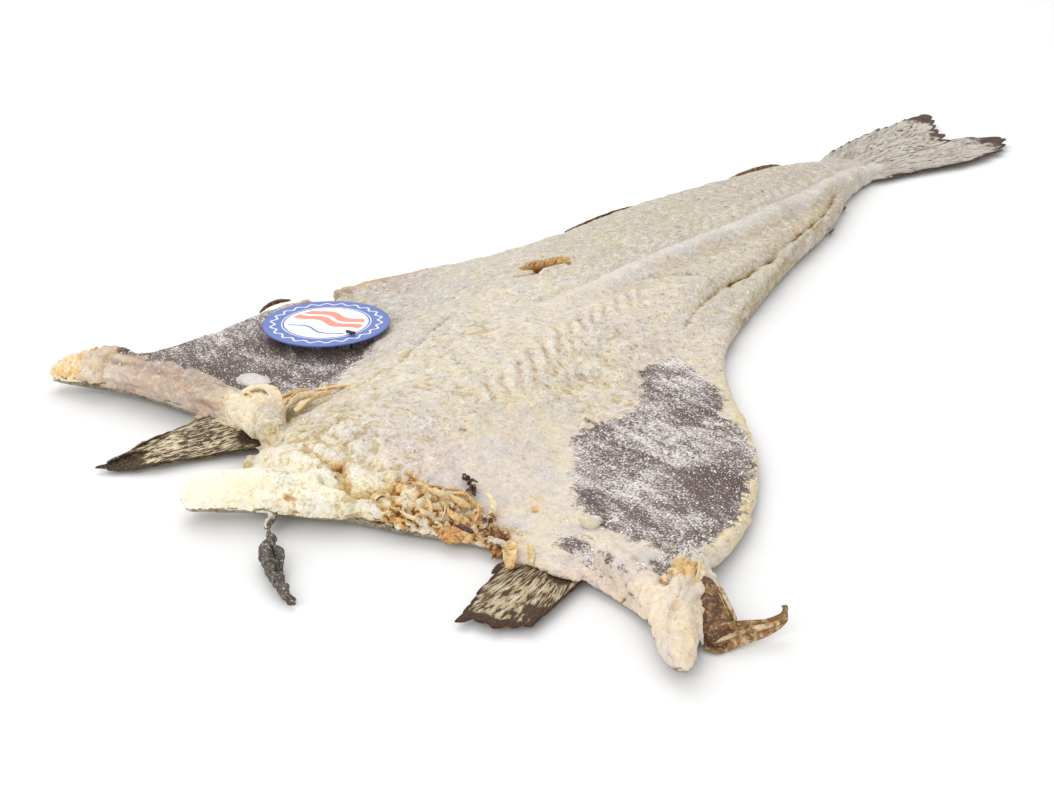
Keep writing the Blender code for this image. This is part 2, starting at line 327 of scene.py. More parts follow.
def applied(piece):
    """Turns the piece's modifiers into its mesh."""
    graph = bpy.context.evaluated_depsgraph_get()
    mesh = bpy.data.meshes.new_from_object(piece.evaluated_get(graph))
    piece.modifiers.clear()
    piece.data = mesh
    return piece


def curve_points(points, step=1.0):
    """A smooth line through points; columns after the third, such as radii, are carried along."""
    p = np.asarray(points, float)
    p = np.vstack([2 * p[0] - p[1], p, 2 * p[-1] - p[-2]])
    out = []
    for i in range(1, len(p) - 2):
        a, b, c, d = p[i - 1], p[i], p[i + 1], p[i + 2]
        count = max(2, int(np.linalg.norm((c - b)[:3]) / step))
        t = (np.arange(count) / count)[:, None]
        out.append(
            0.5
            * (
                2 * b
                + (c - a) * t
                + (2 * a - 5 * b + 4 * c - d) * t**2
                + (3 * b - a - 3 * c + d) * t**3
            )
        )
    out.append(p[-2][None])
    return np.vstack(out)


def even_line(points, count):
    """A smooth line through points, as count evenly spaced places."""
    line = curve_points(points, 0.4)
    steps = np.linalg.norm(np.diff(line[:, :3], axis=0), axis=1)
    along = np.concatenate([[0.0], np.cumsum(steps)]) / steps.sum()
    share = np.linspace(0.0, 1.0, count)
    return np.stack([np.interp(share, along, line[:, i]) for i in range(line.shape[1])], axis=1)


def tube(points, sides=12, step=1.0, flat=1.0, twist=(0.0, 0.0)):
    """A closed tube along points (x, y, z, radius). flat squashes it, twist turns it in degrees."""
    line = curve_points(points, step)
    centre, radius = line[:, :3], np.maximum(line[:, 3], 0.05)
    ahead = np.gradient(centre, axis=0)
    ahead /= np.linalg.norm(ahead, axis=1)[:, None]
    side = np.cross(ahead, (0.0, 0.0, 1.0))
    size = np.linalg.norm(side, axis=1)[:, None]
    side = np.where(size > 1e-3, side / np.maximum(size, 1e-3), (1.0, 0.0, 0.0))
    up = np.cross(side, ahead)
    roll = np.radians(np.linspace(twist[0], twist[1], len(line)))[:, None]
    wide = side * np.cos(roll) + up * np.sin(roll)
    thin = up * np.cos(roll) - side * np.sin(roll)
    angle = np.arange(sides) * 2 * np.pi / sides
    ring = (
        centre[:, None]
        + radius[:, None, None] * np.cos(angle)[None, :, None] * wide[:, None]
        + flat * radius[:, None, None] * np.sin(angle)[None, :, None] * thin[:, None]
    )
    verts = ring.reshape(-1, 3)
    faces = []
    rows = len(line)
    for r in range(rows - 1):
        for s in range(sides):
            n = (s + 1) % sides
            faces.append((r * sides + s, r * sides + n, (r + 1) * sides + n, (r + 1) * sides + s))
    first, last = len(verts), len(verts) + 1
    verts = np.vstack([verts, centre[0], centre[-1]])
    for s in range(sides):
        n = (s + 1) % sides
        faces.append((n, s, first))
        faces.append(((rows - 1) * sides + s, (rows - 1) * sides + n, last))
    return verts, faces


def joined(parts):
    """Several (points, faces) as one."""
    points, faces, start = [], [], 0
    for p, f in parts:
        points.append(p)
        faces += [tuple(i + start for i in face) for face in f]
        start += len(p)
    return np.vstack(points), faces


def strip(points, fold=0.3, thick=0.8, step=0.7, twist=(0.0, 0.0), rough=0.35, seed=1):
    """A thin closed band along points (x, y, z, half width) whose sides fold up."""
    across = 9
    line = curve_points(points, step)
    centre, half = line[:, :3], np.maximum(line[:, 3], 0.1)
    ahead = np.gradient(centre, axis=0)
    ahead /= np.linalg.norm(ahead, axis=1)[:, None]
    side = np.cross(ahead, (0.0, 0.0, 1.0))
    side /= np.maximum(np.linalg.norm(side, axis=1)[:, None], 1e-3)
    up = np.cross(side, ahead)
    roll = np.radians(np.linspace(twist[0], twist[1], len(line)))[:, None]
    wide = side * np.cos(roll) + up * np.sin(roll)
    thin = up * np.cos(roll) - side * np.sin(roll)
    s = np.linspace(-1.0, 1.0, across)
    rise = fold * (s**2)[None, :, None] * half[:, None, None] * thin[:, None]
    middle = centre[:, None] + s[None, :, None] * (half[:, None] * wide)[:, None] + rise
    flat = middle.reshape(-1, 3)
    wave = rough * (fractal(flat, 3.2, seed, 2) + 0.5 * fractal(flat, 9.0, seed + 9, 1))
    middle = middle + wave.reshape(len(line), across, 1) * thin[:, None]
    edge = np.sqrt(np.maximum(0.12, 1.0 - s**2))[None, :, None]
    verts = np.vstack(
        [
            (middle + 0.5 * thick * edge * thin[:, None]).reshape(-1, 3),
            (middle - 0.5 * thick * edge * thin[:, None]).reshape(-1, 3),
        ]
    )
    return verts, shell_faces(len(line), across)


def shell_faces(rows, columns):
    """Faces of a closed shell whose two grids of points lie one after the other."""
    count = rows * columns
    grid = np.arange(count).reshape(rows, columns)
    a, b, c, d = (g.ravel() for g in (grid[:-1, :-1], grid[:-1, 1:], grid[1:, 1:], grid[1:, :-1]))
    faces = [*zip(a, b, c, d), *zip(a + count, d + count, c + count, b + count)]
    rim = [*grid[0], *grid[1:, -1], *grid[-1, -2::-1], *grid[-2:0:-1, 0]]
    for i, j in zip(rim, rim[1:] + rim[:1]):
        faces.append((i, i + count, j + count, j))
    return faces


def ribbon(left, right, thick=1.0, bow=0.0, rough=0.5, seed=1, across=13, grain=3.0):
    """A thin closed sheet between two edge lines of (x, y, z), bowed up along its middle."""
    longest = max(len(curve_points(left, 0.7)), len(curve_points(right, 0.7)))
    a, b = even_line(left, longest), even_line(right, longest)
    s = np.linspace(0.0, 1.0, across)[None, :, None]
    middle = a[:, None] * (1.0 - s) + b[:, None] * s
    ahead = np.gradient(middle, axis=0)
    side = np.gradient(middle, axis=1)
    up = np.cross(side, ahead)
    up /= np.maximum(np.linalg.norm(up, axis=2), 1e-6)[..., None]
    flat = middle.reshape(-1, 3)
    wave = rough * (fractal(flat, grain, seed, 3) + 0.7 * fractal(flat, 3.0 * grain, seed + 9, 1))
    middle = middle + up * (bow * 4.0 * s * (1.0 - s) + wave.reshape(longest, across, 1))
    edge = np.sqrt(np.maximum(0.12, 1.0 - (2.0 * s - 1.0) ** 2))
    half = 0.5 * thick * edge * up
    verts = np.vstack([(middle + half).reshape(-1, 3), (middle - half).reshape(-1, 3)])
    return verts, shell_faces(longest, across)


def blob(centre, radii, seed, rough=0.12):
    """A lumpy closed ball."""
    rings, sides = 14, 20
    lat = np.pi * (np.arange(1, rings) / rings)
    lon = 2 * np.pi * np.arange(sides) / sides
    ball = [(math.sin(a) * math.cos(b), math.sin(a) * math.sin(b), math.cos(a)) for a in lat for b in lon]
    ball = np.array(ball + [(0, 0, 1), (0, 0, -1)])
    faces = []
    for r in range(rings - 2):
        for k in range(sides):
            n = (k + 1) % sides
            faces.append((r * sides + k, (r + 1) * sides + k, (r + 1) * sides + n, r * sides + n))
    top, low = len(ball) - 2, len(ball) - 1
    last = (rings - 2) * sides
    for k in range(sides):
        n = (k + 1) % sides
        faces.append((k, n, top))
        faces.append((last + n, last + k, low))
    ball = ball * (1.0 + rough * fractal(ball + seed, 0.9, seed, 3))[:, None]
    return np.array(centre) + ball * np.array(radii), faces


# ---------------------------------------------------------------- materials


class Paint:
    """A material's node graph, with one short call for each kind of node used here."""

    def __init__(self, name):
        self.material = bpy.data.materials.new(name)
        self.material.use_nodes = True
        self.tree = self.material.node_tree
        self.shader = self.tree.nodes["Principled BSDF"]
        self.count = 0

    def give(self, socket, value):
        if isinstance(value, bpy.types.NodeSocket):
            self.tree.links.new(value, socket)
        elif isinstance(value, tuple) and len(value) == 3 and len(socket.default_value) == 4:
            socket.default_value = (*value, 1.0)
        else:
            socket.default_value = value

    def node(self, kind, values=(), **settings):
        made = self.tree.nodes.new(kind)
        self.count += 1
        made.location = (-220 * (1 + self.count // 6), -180 * (self.count % 6))
        for key, setting in settings.items():
            setattr(made, key, setting)
        for socket, value in dict(values).items():
            self.give(made.inputs[socket], value)
        return made

    def math(self, operation, a, b=0.0):
        return self.node("ShaderNodeMath", {0: a, 1: b}, operation=operation).outputs[0]

    def step(self, value, low, high):
        """0 below low, 1 above high and a soft step between."""
        made = self.node(
            "ShaderNodeMapRange",
            {"Value": value, "From Min": low, "From Max": high},
            interpolation_type="SMOOTHSTEP",
        )
        return made.outputs["Result"]

    def scaled(self, value, low, high):
        """Maps 0 to low and 1 to high."""
        made = self.node("ShaderNodeMapRange", {"Value": value, "To Min": low, "To Max": high})
        return made.outputs["Result"]

    def mix(self, factor, a, b, blend="MIX"):
        made = self.node("ShaderNodeMix", data_type="RGBA", blend_type=blend)
        self.give(made.inputs[0], factor)
        self.give(made.inputs[6], a)
        self.give(made.inputs[7], b)
        return made.outputs[2]

    def number(self, name):
        return self.node("ShaderNodeAttribute", attribute_name=name).outputs["Fac"]

    def colour(self, name):
        return self.node("ShaderNodeAttribute", attribute_name=name).outputs["Color"]

    def vector(self, name):
        return self.node("ShaderNodeAttribute", attribute_name=name).outputs["Vector"]

    def place(self, stretch=(1.0, 1.0, 1.0), turn=0.0):
        """Places on the piece in millimetres, stretched by the given shares."""
        spot = self.node("ShaderNodeTexCoord").outputs["Object"]
        size = tuple(1000.0 * s for s in stretch)
        turned = self.node(
            "ShaderNodeMapping", {"Vector": spot, "Rotation": (0.0, 0.0, math.radians(turn))}
        )
        made = self.node("ShaderNodeMapping", {"Vector": turned.outputs[0], "Scale": size})
        return made.outputs[0]

    def noise(self, spot, size, detail=2.0, rough=0.5, twist=0.0):
        made = self.node(
            "ShaderNodeTexNoise",
            {
                "Vector": spot,
                "Scale": 1.0 / size,
                "Detail": detail,
                "Roughness": rough,
                "Distortion": twist,
            },
        )
        return made.outputs["Fac"]

    def crystals(self, spot, size):
        """Distance to the nearest of scattered seeds."""
        made = self.node("ShaderNodeTexVoronoi", {"Vector": spot, "Scale": 1.0 / size})
        return made.outputs["Distance"]

    def bump(self, height, depth, under=None):
        """A bump whose full height is depth millimetres."""
        values = {"Height": height, "Distance": depth * MM, "Strength": 1.0}
        if under is not None:
            values["Normal"] = under
        return self.node("ShaderNodeBump", values).outputs["Normal"]


def rgb(r, g, b):
    return tuple(float(c) for c in linear((r, g, b)))


def flesh_paint():
    """Dried flesh, belly lining, rims, torn orange tissue: one material steered by point attributes, with painted shade
    in its hollows and painted highlight on its crests.
    """
    p = Paint("dried_flesh")
    spot = p.place()
    relief = p.number("relief")
    calm = p.number("calm")

    def tinged(base, colour):
        return p.mix(1.0, base, colour, "MULTIPLY")

    cloud = p.noise(spot, 9.0, 2.0, 0.5)
    curd = p.noise(p.place((1.0, 0.7, 1.0), 20.0), 2.9, 3.0, 0.6, 0.5)
    grain = p.noise(spot, 1.4, 2.0, 0.6)
    pores = p.noise(spot, 3.8, 3.0, 0.62, 0.6)
    tint = p.colour("tint")
    plain = p.mix(p.step(cloud, 0.36, 0.64), tinged(tint, rgb(245, 247, 252)), tinged(tint, rgb(255, 252, 244)))
    # curd, grain and pores are also the bump heights below: the lighter mixes on their high places are painted
    # highlight, the darker ones in their low places and in the pores are painted shade.
    base = p.mix(p.step(curd, 0.5, 0.7), plain, p.mix(0.42, plain, rgb(248, 246, 240)))
    base = p.mix(p.step(curd, 0.46, 0.3), base, tinged(base, rgb(236, 230, 216)))
    base = p.mix(p.step(grain, 0.54, 0.7), base, p.mix(0.3, base, rgb(252, 250, 245)))
    base = p.mix(p.step(grain, 0.44, 0.3), base, tinged(base, rgb(228, 222, 208)))
    base = p.mix(p.step(pores, 0.65, 0.74), base, tinged(base, rgb(222, 212, 190)))
    # relief follows the height of the sculpted lumps: darker in its low places is painted shade, lighter on its crests
    # is painted highlight.
    base = p.mix(p.step(relief, 0.44, 0.1), base, tinged(base, rgb(230, 219, 194)))
    base = p.mix(p.step(relief, 0.6, 0.95), base, p.mix(0.3, base, rgb(252, 248, 238)))
    base = p.mix(p.math("MULTIPLY", calm, 0.6), base, plain)

    fine = p.noise(spot, 1.0, 2.0, 0.75)
    bands = p.noise(p.place((0.35, 1.0, 1.0), 30.0), 6.0, 2.0, 0.6, 0.6)
    clouds = p.noise(spot, 26.0, 2.0, 0.5)
    salt = p.math("ADD", fine, p.math("MULTIPLY", p.math("SUBTRACT", bands, 0.5), 0.6))
    salt = p.math("ADD", salt, p.math("MULTIPLY", p.math("SUBTRACT", clouds, 0.5), 0.35))
    salt = p.math("ADD", salt, p.number("frost"))
    salted = p.step(salt, 0.38, 0.74)
    dark = p.mix(clouds, rgb(84, 68, 64), rgb(116, 98, 92))
    lining = p.mix(salted, dark, p.mix(salted, rgb(158, 145, 139), rgb(230, 222, 217)))
    ragged = p.math("MULTIPLY", p.math("SUBTRACT", p.noise(spot, 5.0, 3.0, 0.7), 0.5), 17.0)
    edge = p.math("ADD", p.number("lining"), ragged)
    faded = p.math("MULTIPLY", p.number("frost"), 9.0)
    here = p.step(edge, -1.2, p.math("ADD", 1.6, p.math("MAXIMUM", faded, 0.0)))
    base = p.mix(here, base, lining)

    skin = p.math("ADD", p.number("skin"), p.math("MULTIPLY", p.math("SUBTRACT", grain, 0.5), 0.9))
    scaly = p.mix(p.step(fine, 0.42, 0.62), rgb(56, 48, 44), rgb(186, 178, 166))
    base = p.mix(p.step(skin, 0.42, 0.7), base, scaly)

    orange = p.number("orange")
    flame = p.math("ADD", orange, p.math("MULTIPLY", p.math("SUBTRACT", curd, 0.5), 1.3))
    base = p.mix(p.step(flame, 0.2, 0.6), base, tinged(base, rgb(252, 226, 178)))
    amber = p.mix(p.step(grain, 0.36, 0.62), rgb(160, 104, 48), rgb(232, 194, 130))
    base = p.mix(p.step(flame, 0.6, 1.0), base, p.mix(0.85, base, amber))
    stain = p.math("ADD", p.number("brown"), p.math("MULTIPLY", p.math("SUBTRACT", grain, 0.5), 0.8))
    base = p.mix(p.step(stain, 0.3, 0.6), base, tinged(base, rgb(206, 176, 134)))
    base = p.mix(p.step(stain, 0.6, 0.95), base, rgb(102, 58, 28))

    p.give(p.shader.inputs["Base Color"], base)
    rough = p.math("ADD", p.scaled(grain, 0.62, 0.86), p.math("MULTIPLY", orange, -0.2))
    p.give(p.shader.inputs["Roughness"], rough)
    p.shader.inputs["Specular IOR Level"].default_value = 0.3
    low = p.bump(p.math("MULTIPLY", curd, p.scaled(calm, 1.0, 0.35)), 1.5)
    mid = p.bump(p.math("MULTIPLY", grain, p.scaled(calm, 1.0, 0.5)), 0.85, low)
    pits = p.bump(p.math("MULTIPLY", p.step(pores, 0.74, 0.62), p.scaled(calm, 1.0, 0.3)), 0.4, mid)
    high = p.bump(p.math("MULTIPLY", salted, here), 0.3, pits)
    p.give(p.shader.inputs["Normal"], high)
    return p.material


def skin_paint():
    """The underside: olive grey skin with darker blotches, tiny scales and dried salt."""
    p = Paint("fish_skin")
    spot = p.place()
    blotch = p.noise(spot, 14.0, 4.0, 0.65)
    scale = p.crystals(p.place((1.0, 0.6, 1.0)), 1.5)
    grain = p.noise(spot, 1.1, 3.0, 0.7)
    base = p.mix(p.step(blotch, 0.38, 0.64), rgb(146, 132, 108), rgb(84, 74, 58))
    base = p.mix(p.step(scale, 0.35, 0.75), base, p.mix(0.5, base, rgb(196, 186, 164)))
    base = p.mix(p.step(grain, 0.6, 0.74), base, rgb(224, 216, 198))
    p.give(p.shader.inputs["Base Color"], base)
    p.give(p.shader.inputs["Roughness"], p.scaled(grain, 0.45, 0.75))
    p.give(p.shader.inputs["Normal"], p.bump(scale, 0.3, p.bump(grain, 0.4)))
    return p.material


def fin_paint(name, pale, warm, dark, cover, flesh=(225, 216, 203)):
    """Dried fin: pale rays with dark dashes along them and a painted highlight on the raised streaks, burnt dark where
    the dark attribute says.
    """
    p = Paint(name)
    along = p.vector("rays")
    streak = p.noise(along, 1.0, 2.0, 0.6)
    wide = p.noise(along, 3.5, 2.0, 0.5)
    fine = p.noise(p.place(), 0.9, 2.0, 0.7)
    base = p.mix(p.step(wide, 0.38, 0.62), pale, warm)
    # streak is also the bump height: this lighter mix on its high places is a painted highlight along the raised rays.
    base = p.mix(p.step(streak, 0.52, 0.68), base, p.mix(0.5, base, rgb(240, 236, 224)))
    base = p.mix(p.step(fine, 0.58, 0.76), base, p.mix(0.4, base, rgb(240, 236, 226)))
    level = p.math("ADD", streak, p.math("MULTIPLY", p.math("SUBTRACT", wide, 0.5), -0.35))
    base = p.mix(p.step(level, cover + 0.03, cover - 0.03), base, p.mix(0.92, base, dark))
    burn = p.math("ADD", p.number("dark"), p.math("MULTIPLY", p.math("SUBTRACT", streak, 0.5), 2.2))
    burnt = p.mix(p.step(fine, 0.42, 0.66), dark, p.mix(0.18, dark, warm))
    base = p.mix(p.step(burn, 0.4, 0.75), base, burnt)
    rooted = p.math("ADD", p.number("root"), p.math("MULTIPLY", p.math("SUBTRACT", streak, 0.5), 1.2))
    base = p.mix(p.step(rooted, 0.4, 0.8), base, rgb(*flesh))
    p.give(p.shader.inputs["Base Color"], base)
    p.give(p.shader.inputs["Roughness"], p.scaled(fine, 0.55, 0.82))
    p.shader.inputs["Specular IOR Level"].default_value = 0.3
    p.give(p.shader.inputs["Normal"], p.bump(streak, 0.5, p.bump(fine, 0.35)))
    return p.material


def strand_paint():
    """Dried skin scrap: near black with grey and salt white speckles."""
    p = Paint("dried_skin_scrap")
    spot = p.place()
    speck = p.noise(spot, 1.3, 3.0, 0.7)
    fine = p.noise(spot, 0.7, 2.0, 0.6)
    shade = p.number("shade")
    level = p.math("ADD", speck, p.math("MULTIPLY", p.math("SUBTRACT", 0.5, shade), 0.3))
    base = p.mix(p.step(level, 0.36, 0.52), rgb(38, 31, 27), rgb(96, 86, 75))
    base = p.mix(p.step(level, 0.56, 0.68), base, rgb(198, 190, 176))
    base = p.mix(p.step(fine, 0.62, 0.72), base, rgb(238, 234, 226))
    p.give(p.shader.inputs["Base Color"], base)
    p.give(p.shader.inputs["Roughness"], p.scaled(fine, 0.4, 0.7))
    p.give(p.shader.inputs["Normal"], p.bump(speck, 0.5))
    return p.material


def leather_paint():
    """Dried fin leather: tan and brown with olive shades and a pale crust; the dark brown in the low places of its
    folds is partly painted shade and the pale tan on their crests a painted highlight.
    """
    p = Paint("dried_leather")
    spot = p.place()
    fold = p.noise(spot, 2.4, 3.0, 0.62, 0.5)
    fine = p.noise(spot, 0.9, 2.0, 0.65)
    wide = p.noise(spot, 8.0, 2.0, 0.5)
    shade = p.number("shade")
    # fold is also the bump height: dark brown in its low places is partly painted shade over the leather's own brown,
    # pale tan on its crests is a painted highlight.
    level = p.math("ADD", fold, p.math("MULTIPLY", p.math("SUBTRACT", 0.5, shade), 0.6))
    base = p.mix(p.step(level, 0.3, 0.52), rgb(88, 50, 22), rgb(160, 118, 72))
    base = p.mix(p.step(level, 0.52, 0.68), base, rgb(212, 188, 150))
    base = p.mix(p.step(wide, 0.45, 0.62), base, p.mix(1.0, base, rgb(232, 236, 214), "MULTIPLY"))
    base = p.mix(p.step(fine, 0.6, 0.74), base, p.mix(0.6, base, rgb(232, 222, 204)))
    base = p.mix(p.step(fine, 0.4, 0.28), base, p.mix(0.6, base, rgb(62, 36, 20)))
    p.give(p.shader.inputs["Base Color"], base)
    p.give(p.shader.inputs["Roughness"], p.scaled(fold, 0.35, 0.6))
    p.give(p.shader.inputs["Normal"], p.bump(fold, 0.9, p.bump(fine, 0.35)))
    return p.material


def tissue_paint():
    """Torn, half translucent tissue: cream crust, amber shades and a few dark red places."""
    p = Paint("torn_tissue")
    spot = p.place()
    blend = p.noise(spot, 2.2, 3.0, 0.7, 0.5)
    fine = p.noise(spot, 0.9, 2.0, 0.7)
    shade = p.math("ADD", p.number("shade"), p.math("MULTIPLY", p.math("SUBTRACT", blend, 0.5), 1.6))
    base = p.mix(p.step(shade, 0.1, 0.5), rgb(240, 224, 190), rgb(230, 198, 140))
    base = p.mix(p.step(shade, 0.5, 0.82), base, rgb(200, 146, 74))
    base = p.mix(p.step(shade, 0.84, 1.06), base, rgb(142, 88, 40))
    base = p.mix(p.step(shade, 1.08, 1.27), base, rgb(76, 38, 26))
    base = p.mix(p.step(fine, 0.56, 0.72), base, p.mix(0.5, base, rgb(250, 242, 226)))
    base = p.mix(p.step(fine, 0.42, 0.3), base, p.mix(1.0, base, rgb(226, 204, 170), "MULTIPLY"))
    p.give(p.shader.inputs["Base Color"], base)
    p.give(p.shader.inputs["Roughness"], p.scaled(blend, 0.4, 0.7))
    p.shader.inputs["Subsurface Weight"].default_value = 0.2
    p.shader.inputs["Subsurface Radius"].default_value = (0.0015, 0.001, 0.0006)
    p.give(p.shader.inputs["Normal"], p.bump(blend, 0.8, p.bump(fine, 0.4)))
    return p.material


def salt_paint():
    p = Paint("salt_crystal")
    frost = p.noise(p.place(), 0.4, 1.0, 0.5)
    p.give(p.shader.inputs["Base Color"], p.mix(frost, rgb(236, 232, 226), rgb(255, 254, 250)))
    p.give(p.shader.inputs["Roughness"], p.scaled(frost, 0.25, 0.55))
    p.shader.inputs["Subsurface Weight"].default_value = 0.2
    p.shader.inputs["Subsurface Radius"].default_value = (0.001, 0.001, 0.001)
    return p.material


def card_paint():
    """Printed card: blue ring with a pale wavy line, white disc with coral waves over a thin wavy blue line."""
    p = Paint("printed_card")
    spot = p.vector("print")
    parts = p.node("ShaderNodeSeparateXYZ", {"Vector": spot})
    x, y = parts.outputs["X"], parts.outputs["Y"]
    radius = p.math("SQRT", p.math("ADD", p.math("MULTIPLY", x, x), p.math("MULTIPLY", y, y)))
    angle = p.math("ARCTAN2", y, x)
    paper, blue, coral = rgb(246, 246, 250), rgb(78, 104, 178), rgb(240, 140, 112)

    def between(value, low, high, soft=0.006):
        rise = p.step(value, low - soft, low + soft)
        fall = p.step(value, high + soft, high - soft)
        return p.math("MULTIPLY", rise, fall)

    base = p.mix(p.step(radius, 0.655, 0.665), paper, blue)
    base = p.mix(between(radius, 0.69, 0.705), base, paper)
    wave = p.math("MULTIPLY", p.math("SINE", p.math("MULTIPLY", angle, 22.0)), 0.035)
    base = p.mix(between(p.math("ADD", radius, wave), 0.82, 0.86), base, p.mix(0.75, blue, paper))
    inner = p.step(radius, 0.6, 0.59)
    for middle, height, colour in ((0.3, 0.085, coral), (0.05, 0.085, coral), (-0.34, 0.022, blue)):
        swell = p.math("MULTIPLY", p.math("SINE", p.math("MULTIPLY", x, 9.0)), 0.06)
        level = p.math("ADD", y, swell)
        band = p.math("MULTIPLY", between(level, middle - height, middle + height), inner)
        base = p.mix(band, base, colour)
    fibre = p.noise(p.place(), 0.9, 3.0, 0.7)
    base = p.mix(p.step(fibre, 0.62, 0.8), base, p.mix(0.2, base, paper))
    p.give(p.shader.inputs["Base Color"], base)
    p.give(p.shader.inputs["Roughness"], p.scaled(fibre, 0.38, 0.52))
    p.give(p.shader.inputs["Normal"], p.bump(fibre, 0.06))
    return p.material


def pin_paint():
    p = Paint("pin_plastic")
    scuff = p.noise(p.place(), 0.5, 2.0, 0.6)
    p.give(p.shader.inputs["Base Color"], p.mix(scuff, rgb(18, 20, 34), rgb(52, 54, 70)))
    p.give(p.shader.inputs["Roughness"], p.scaled(scuff, 0.3, 0.5))
    p.give(p.shader.inputs["Normal"], p.bump(scuff, 0.04))
    return p.material


def floor_paint():
    p = Paint("pale_floor")
    cloud = p.noise(p.place(), 300.0, 2.0, 0.5)
    p.give(p.shader.inputs["Base Color"], p.mix(cloud, (0.86, 0.86, 0.86), (0.88, 0.88, 0.88)))
    p.shader.inputs["Roughness"].default_value = 0.9
    p.shader.inputs["Specular IOR Level"].default_value = 0.1
    return p.material


# ---------------------------------------------------------------- the opened body

# Prisms that cut the thin fins off the body: plan outline, then floor and ceiling.
FIN_CUTS = (
    (((-112, -12), (-57, -12), (-57, 50), (-112, 50)), -1, 8),
    (((70, -25), (112, -25), (112, 16), (70, 16)), -1, 12),
    (((151.5, 46), (154, 24), (163, 3), (172, -10), (192, -10), (192, 46)), -1, 20),
    (((-60, 591), (120, 591), (120, 780), (-60, 780)), -1, 20),
    (((-18, -46), (36, -46), (36, -5), (-18, -5)), -1, 9),
)

# Rolls and lumps that join the body: each is a line of (x, y, z, radius).
BODY_ROLLS = (
    ((-141, 86, 10, 2), (-137, 104, 10.5, 3.2), (-136, 128, 10.5, 3.6), (-134, 150, 10.5, 3.4), (-129, 168, 10, 3), (-124, 177, 9, 2)),
    ((-118, 200, 8.5, 2.2), (-113, 211, 8.8, 3.2), (-106, 226, 8.4, 3), (-97, 244, 8, 2.6), (-88, 262, 7, 2)),
    ((84, 184, 5, 2.2), (96, 169, 5, 2.8), (109, 153, 5, 3), (121, 133, 5, 3), (132, 110, 5, 3), (138, 86, 5, 3.4), (140, 66, 6, 3.8), (140, 50, 7, 4.2), (139, 38, 9, 4)),
    ((-52, -4, 8, 4), (-48.5, -3, 8.6, 7), (-42, -2, 10, 8.2), (-30, 2, 11.5, 8.2), (-14, 9, 12.5, 7.6), (0, 15, 13, 6)),
    ((-44, 26, 7, 4), (-38, 26, 9, 4.6), (-30, 24, 11, 5)),
    ((-34, 27, 11, 3), (-28, 22, 15, 4.6), (-16, 20, 17, 5.6), (-4, 22, 17.5, 5)),
    ((-76, 54, 14, 3.4), (-68, 51, 15.5, 5), (-60, 47, 15, 5), (-52, 43, 12.5, 3.6)),
    ((-62, 58, 17, 3.4), (-54, 55, 19, 4.4), (-48, 50, 18.6, 3.8)),
    ((135, 34, 12, 3), (141, 26, 14.5, 4), (144, 16, 15, 3.6), (149, 7, 14.5, 3)),
    ((-168, 64, 13, 4), (-160, 67, 14, 6), (-152, 68, 13.6, 5)),
)


def cad_copy(node, name):
    """A welded copy of a CAD node's mesh, with nothing else on it."""
    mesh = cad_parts[node].data.copy()
    mesh.materials.clear()
    work = bmesh.new()
    work.from_mesh(mesh)
    bmesh.ops.remove_doubles(work, verts=work.verts, dist=1e-5)
    work.to_mesh(mesh)
    work.free()
    return link(mesh, name)


def prism(name, outline, low, high):
    """A closed upright prism over a plan outline."""
    count = len(outline)
    points = [(x, y, z) for z in (low, high) for x, y in outline]
    faces = [tuple(reversed(range(count))), tuple(range(count, 2 * count))]
    for i in range(count):
        j = (i + 1) % count
        faces.append((i, j, j + count, i + count))
    return make_mesh(name, np.array(points, float), faces)


def body_base():
    """The CAD body without its thin fins, joined with the extra rolls into one even mesh."""
    body = cad_copy("cod", "body_base")
    for i, (outline, low, high) in enumerate(FIN_CUTS):
        cutter = prism(f"cut_{i}", outline, low, high)
        step = body.modifiers.new(f"cut_{i}", "BOOLEAN")
        step.operation = "DIFFERENCE"
        step.solver = "EXACT"
        step.object = cutter
        applied(body)
        bpy.data.objects.remove(cutter)
    rolls = make_mesh("rolls", *joined([tube(roll, 14, 1.5) for roll in BODY_ROLLS]))
    work = bmesh.new()
    work.from_mesh(body.data)
    work.from_mesh(rolls.data)
    work.to_mesh(body.data)
    work.free()
    bpy.data.objects.remove(rolls)
    remesh = body.modifiers.new("even", "REMESH")
    remesh.mode = "VOXEL"
    remesh.voxel_size = VOXEL * MM
    remesh.adaptivity = 0.0
    applied(body)
    return body


HOLE = (-41.0, 255.0)


LUG_GROOVE = ((144, 22), (148, 10), (152, 0), (155, -7))


PINPRICKS = (
    # Small dark holes in the flesh: x, y, radius, depth.
    (-31, 262, 2.6, 1.2),
    (72, 48, 1.6, 1.8), (28, 144, 1.4, 1.6), (28, 70, 1.4, 1.6), (124, 13, 1.5, 1.6), (-22, 96, 1.2, 1.2),
    (-8, 120, 1.1, 1.2), (8, 96, 1.0, 1.0), (-64, 176, 1.0, 1.0), (10, 190, 1.2, 1.2), (24, 84, 1.3, 1.4),
    (38, 128, 1.2, 1.3), (-30, 176, 1.0, 1.0),
)
COLLAR_CRACK = (
    (-66, 60), (-50, 70), (-37, 80), (-30, 89), (-28, 105), (-33, 125), (-36, 141), (-41, 164),
)
FURROW = ((-16, 25), (-2, 25), (4, 23), (9, 18), (15, 17), (21, 20), (27, 25))


def ridges(points, size, seed, width=2.2):
    """Thin raised folds, from 0 between them to 1 on their crests."""
    return (1.0 - np.minimum(1.0, width * np.abs(noise(points, size, seed)))) ** 2


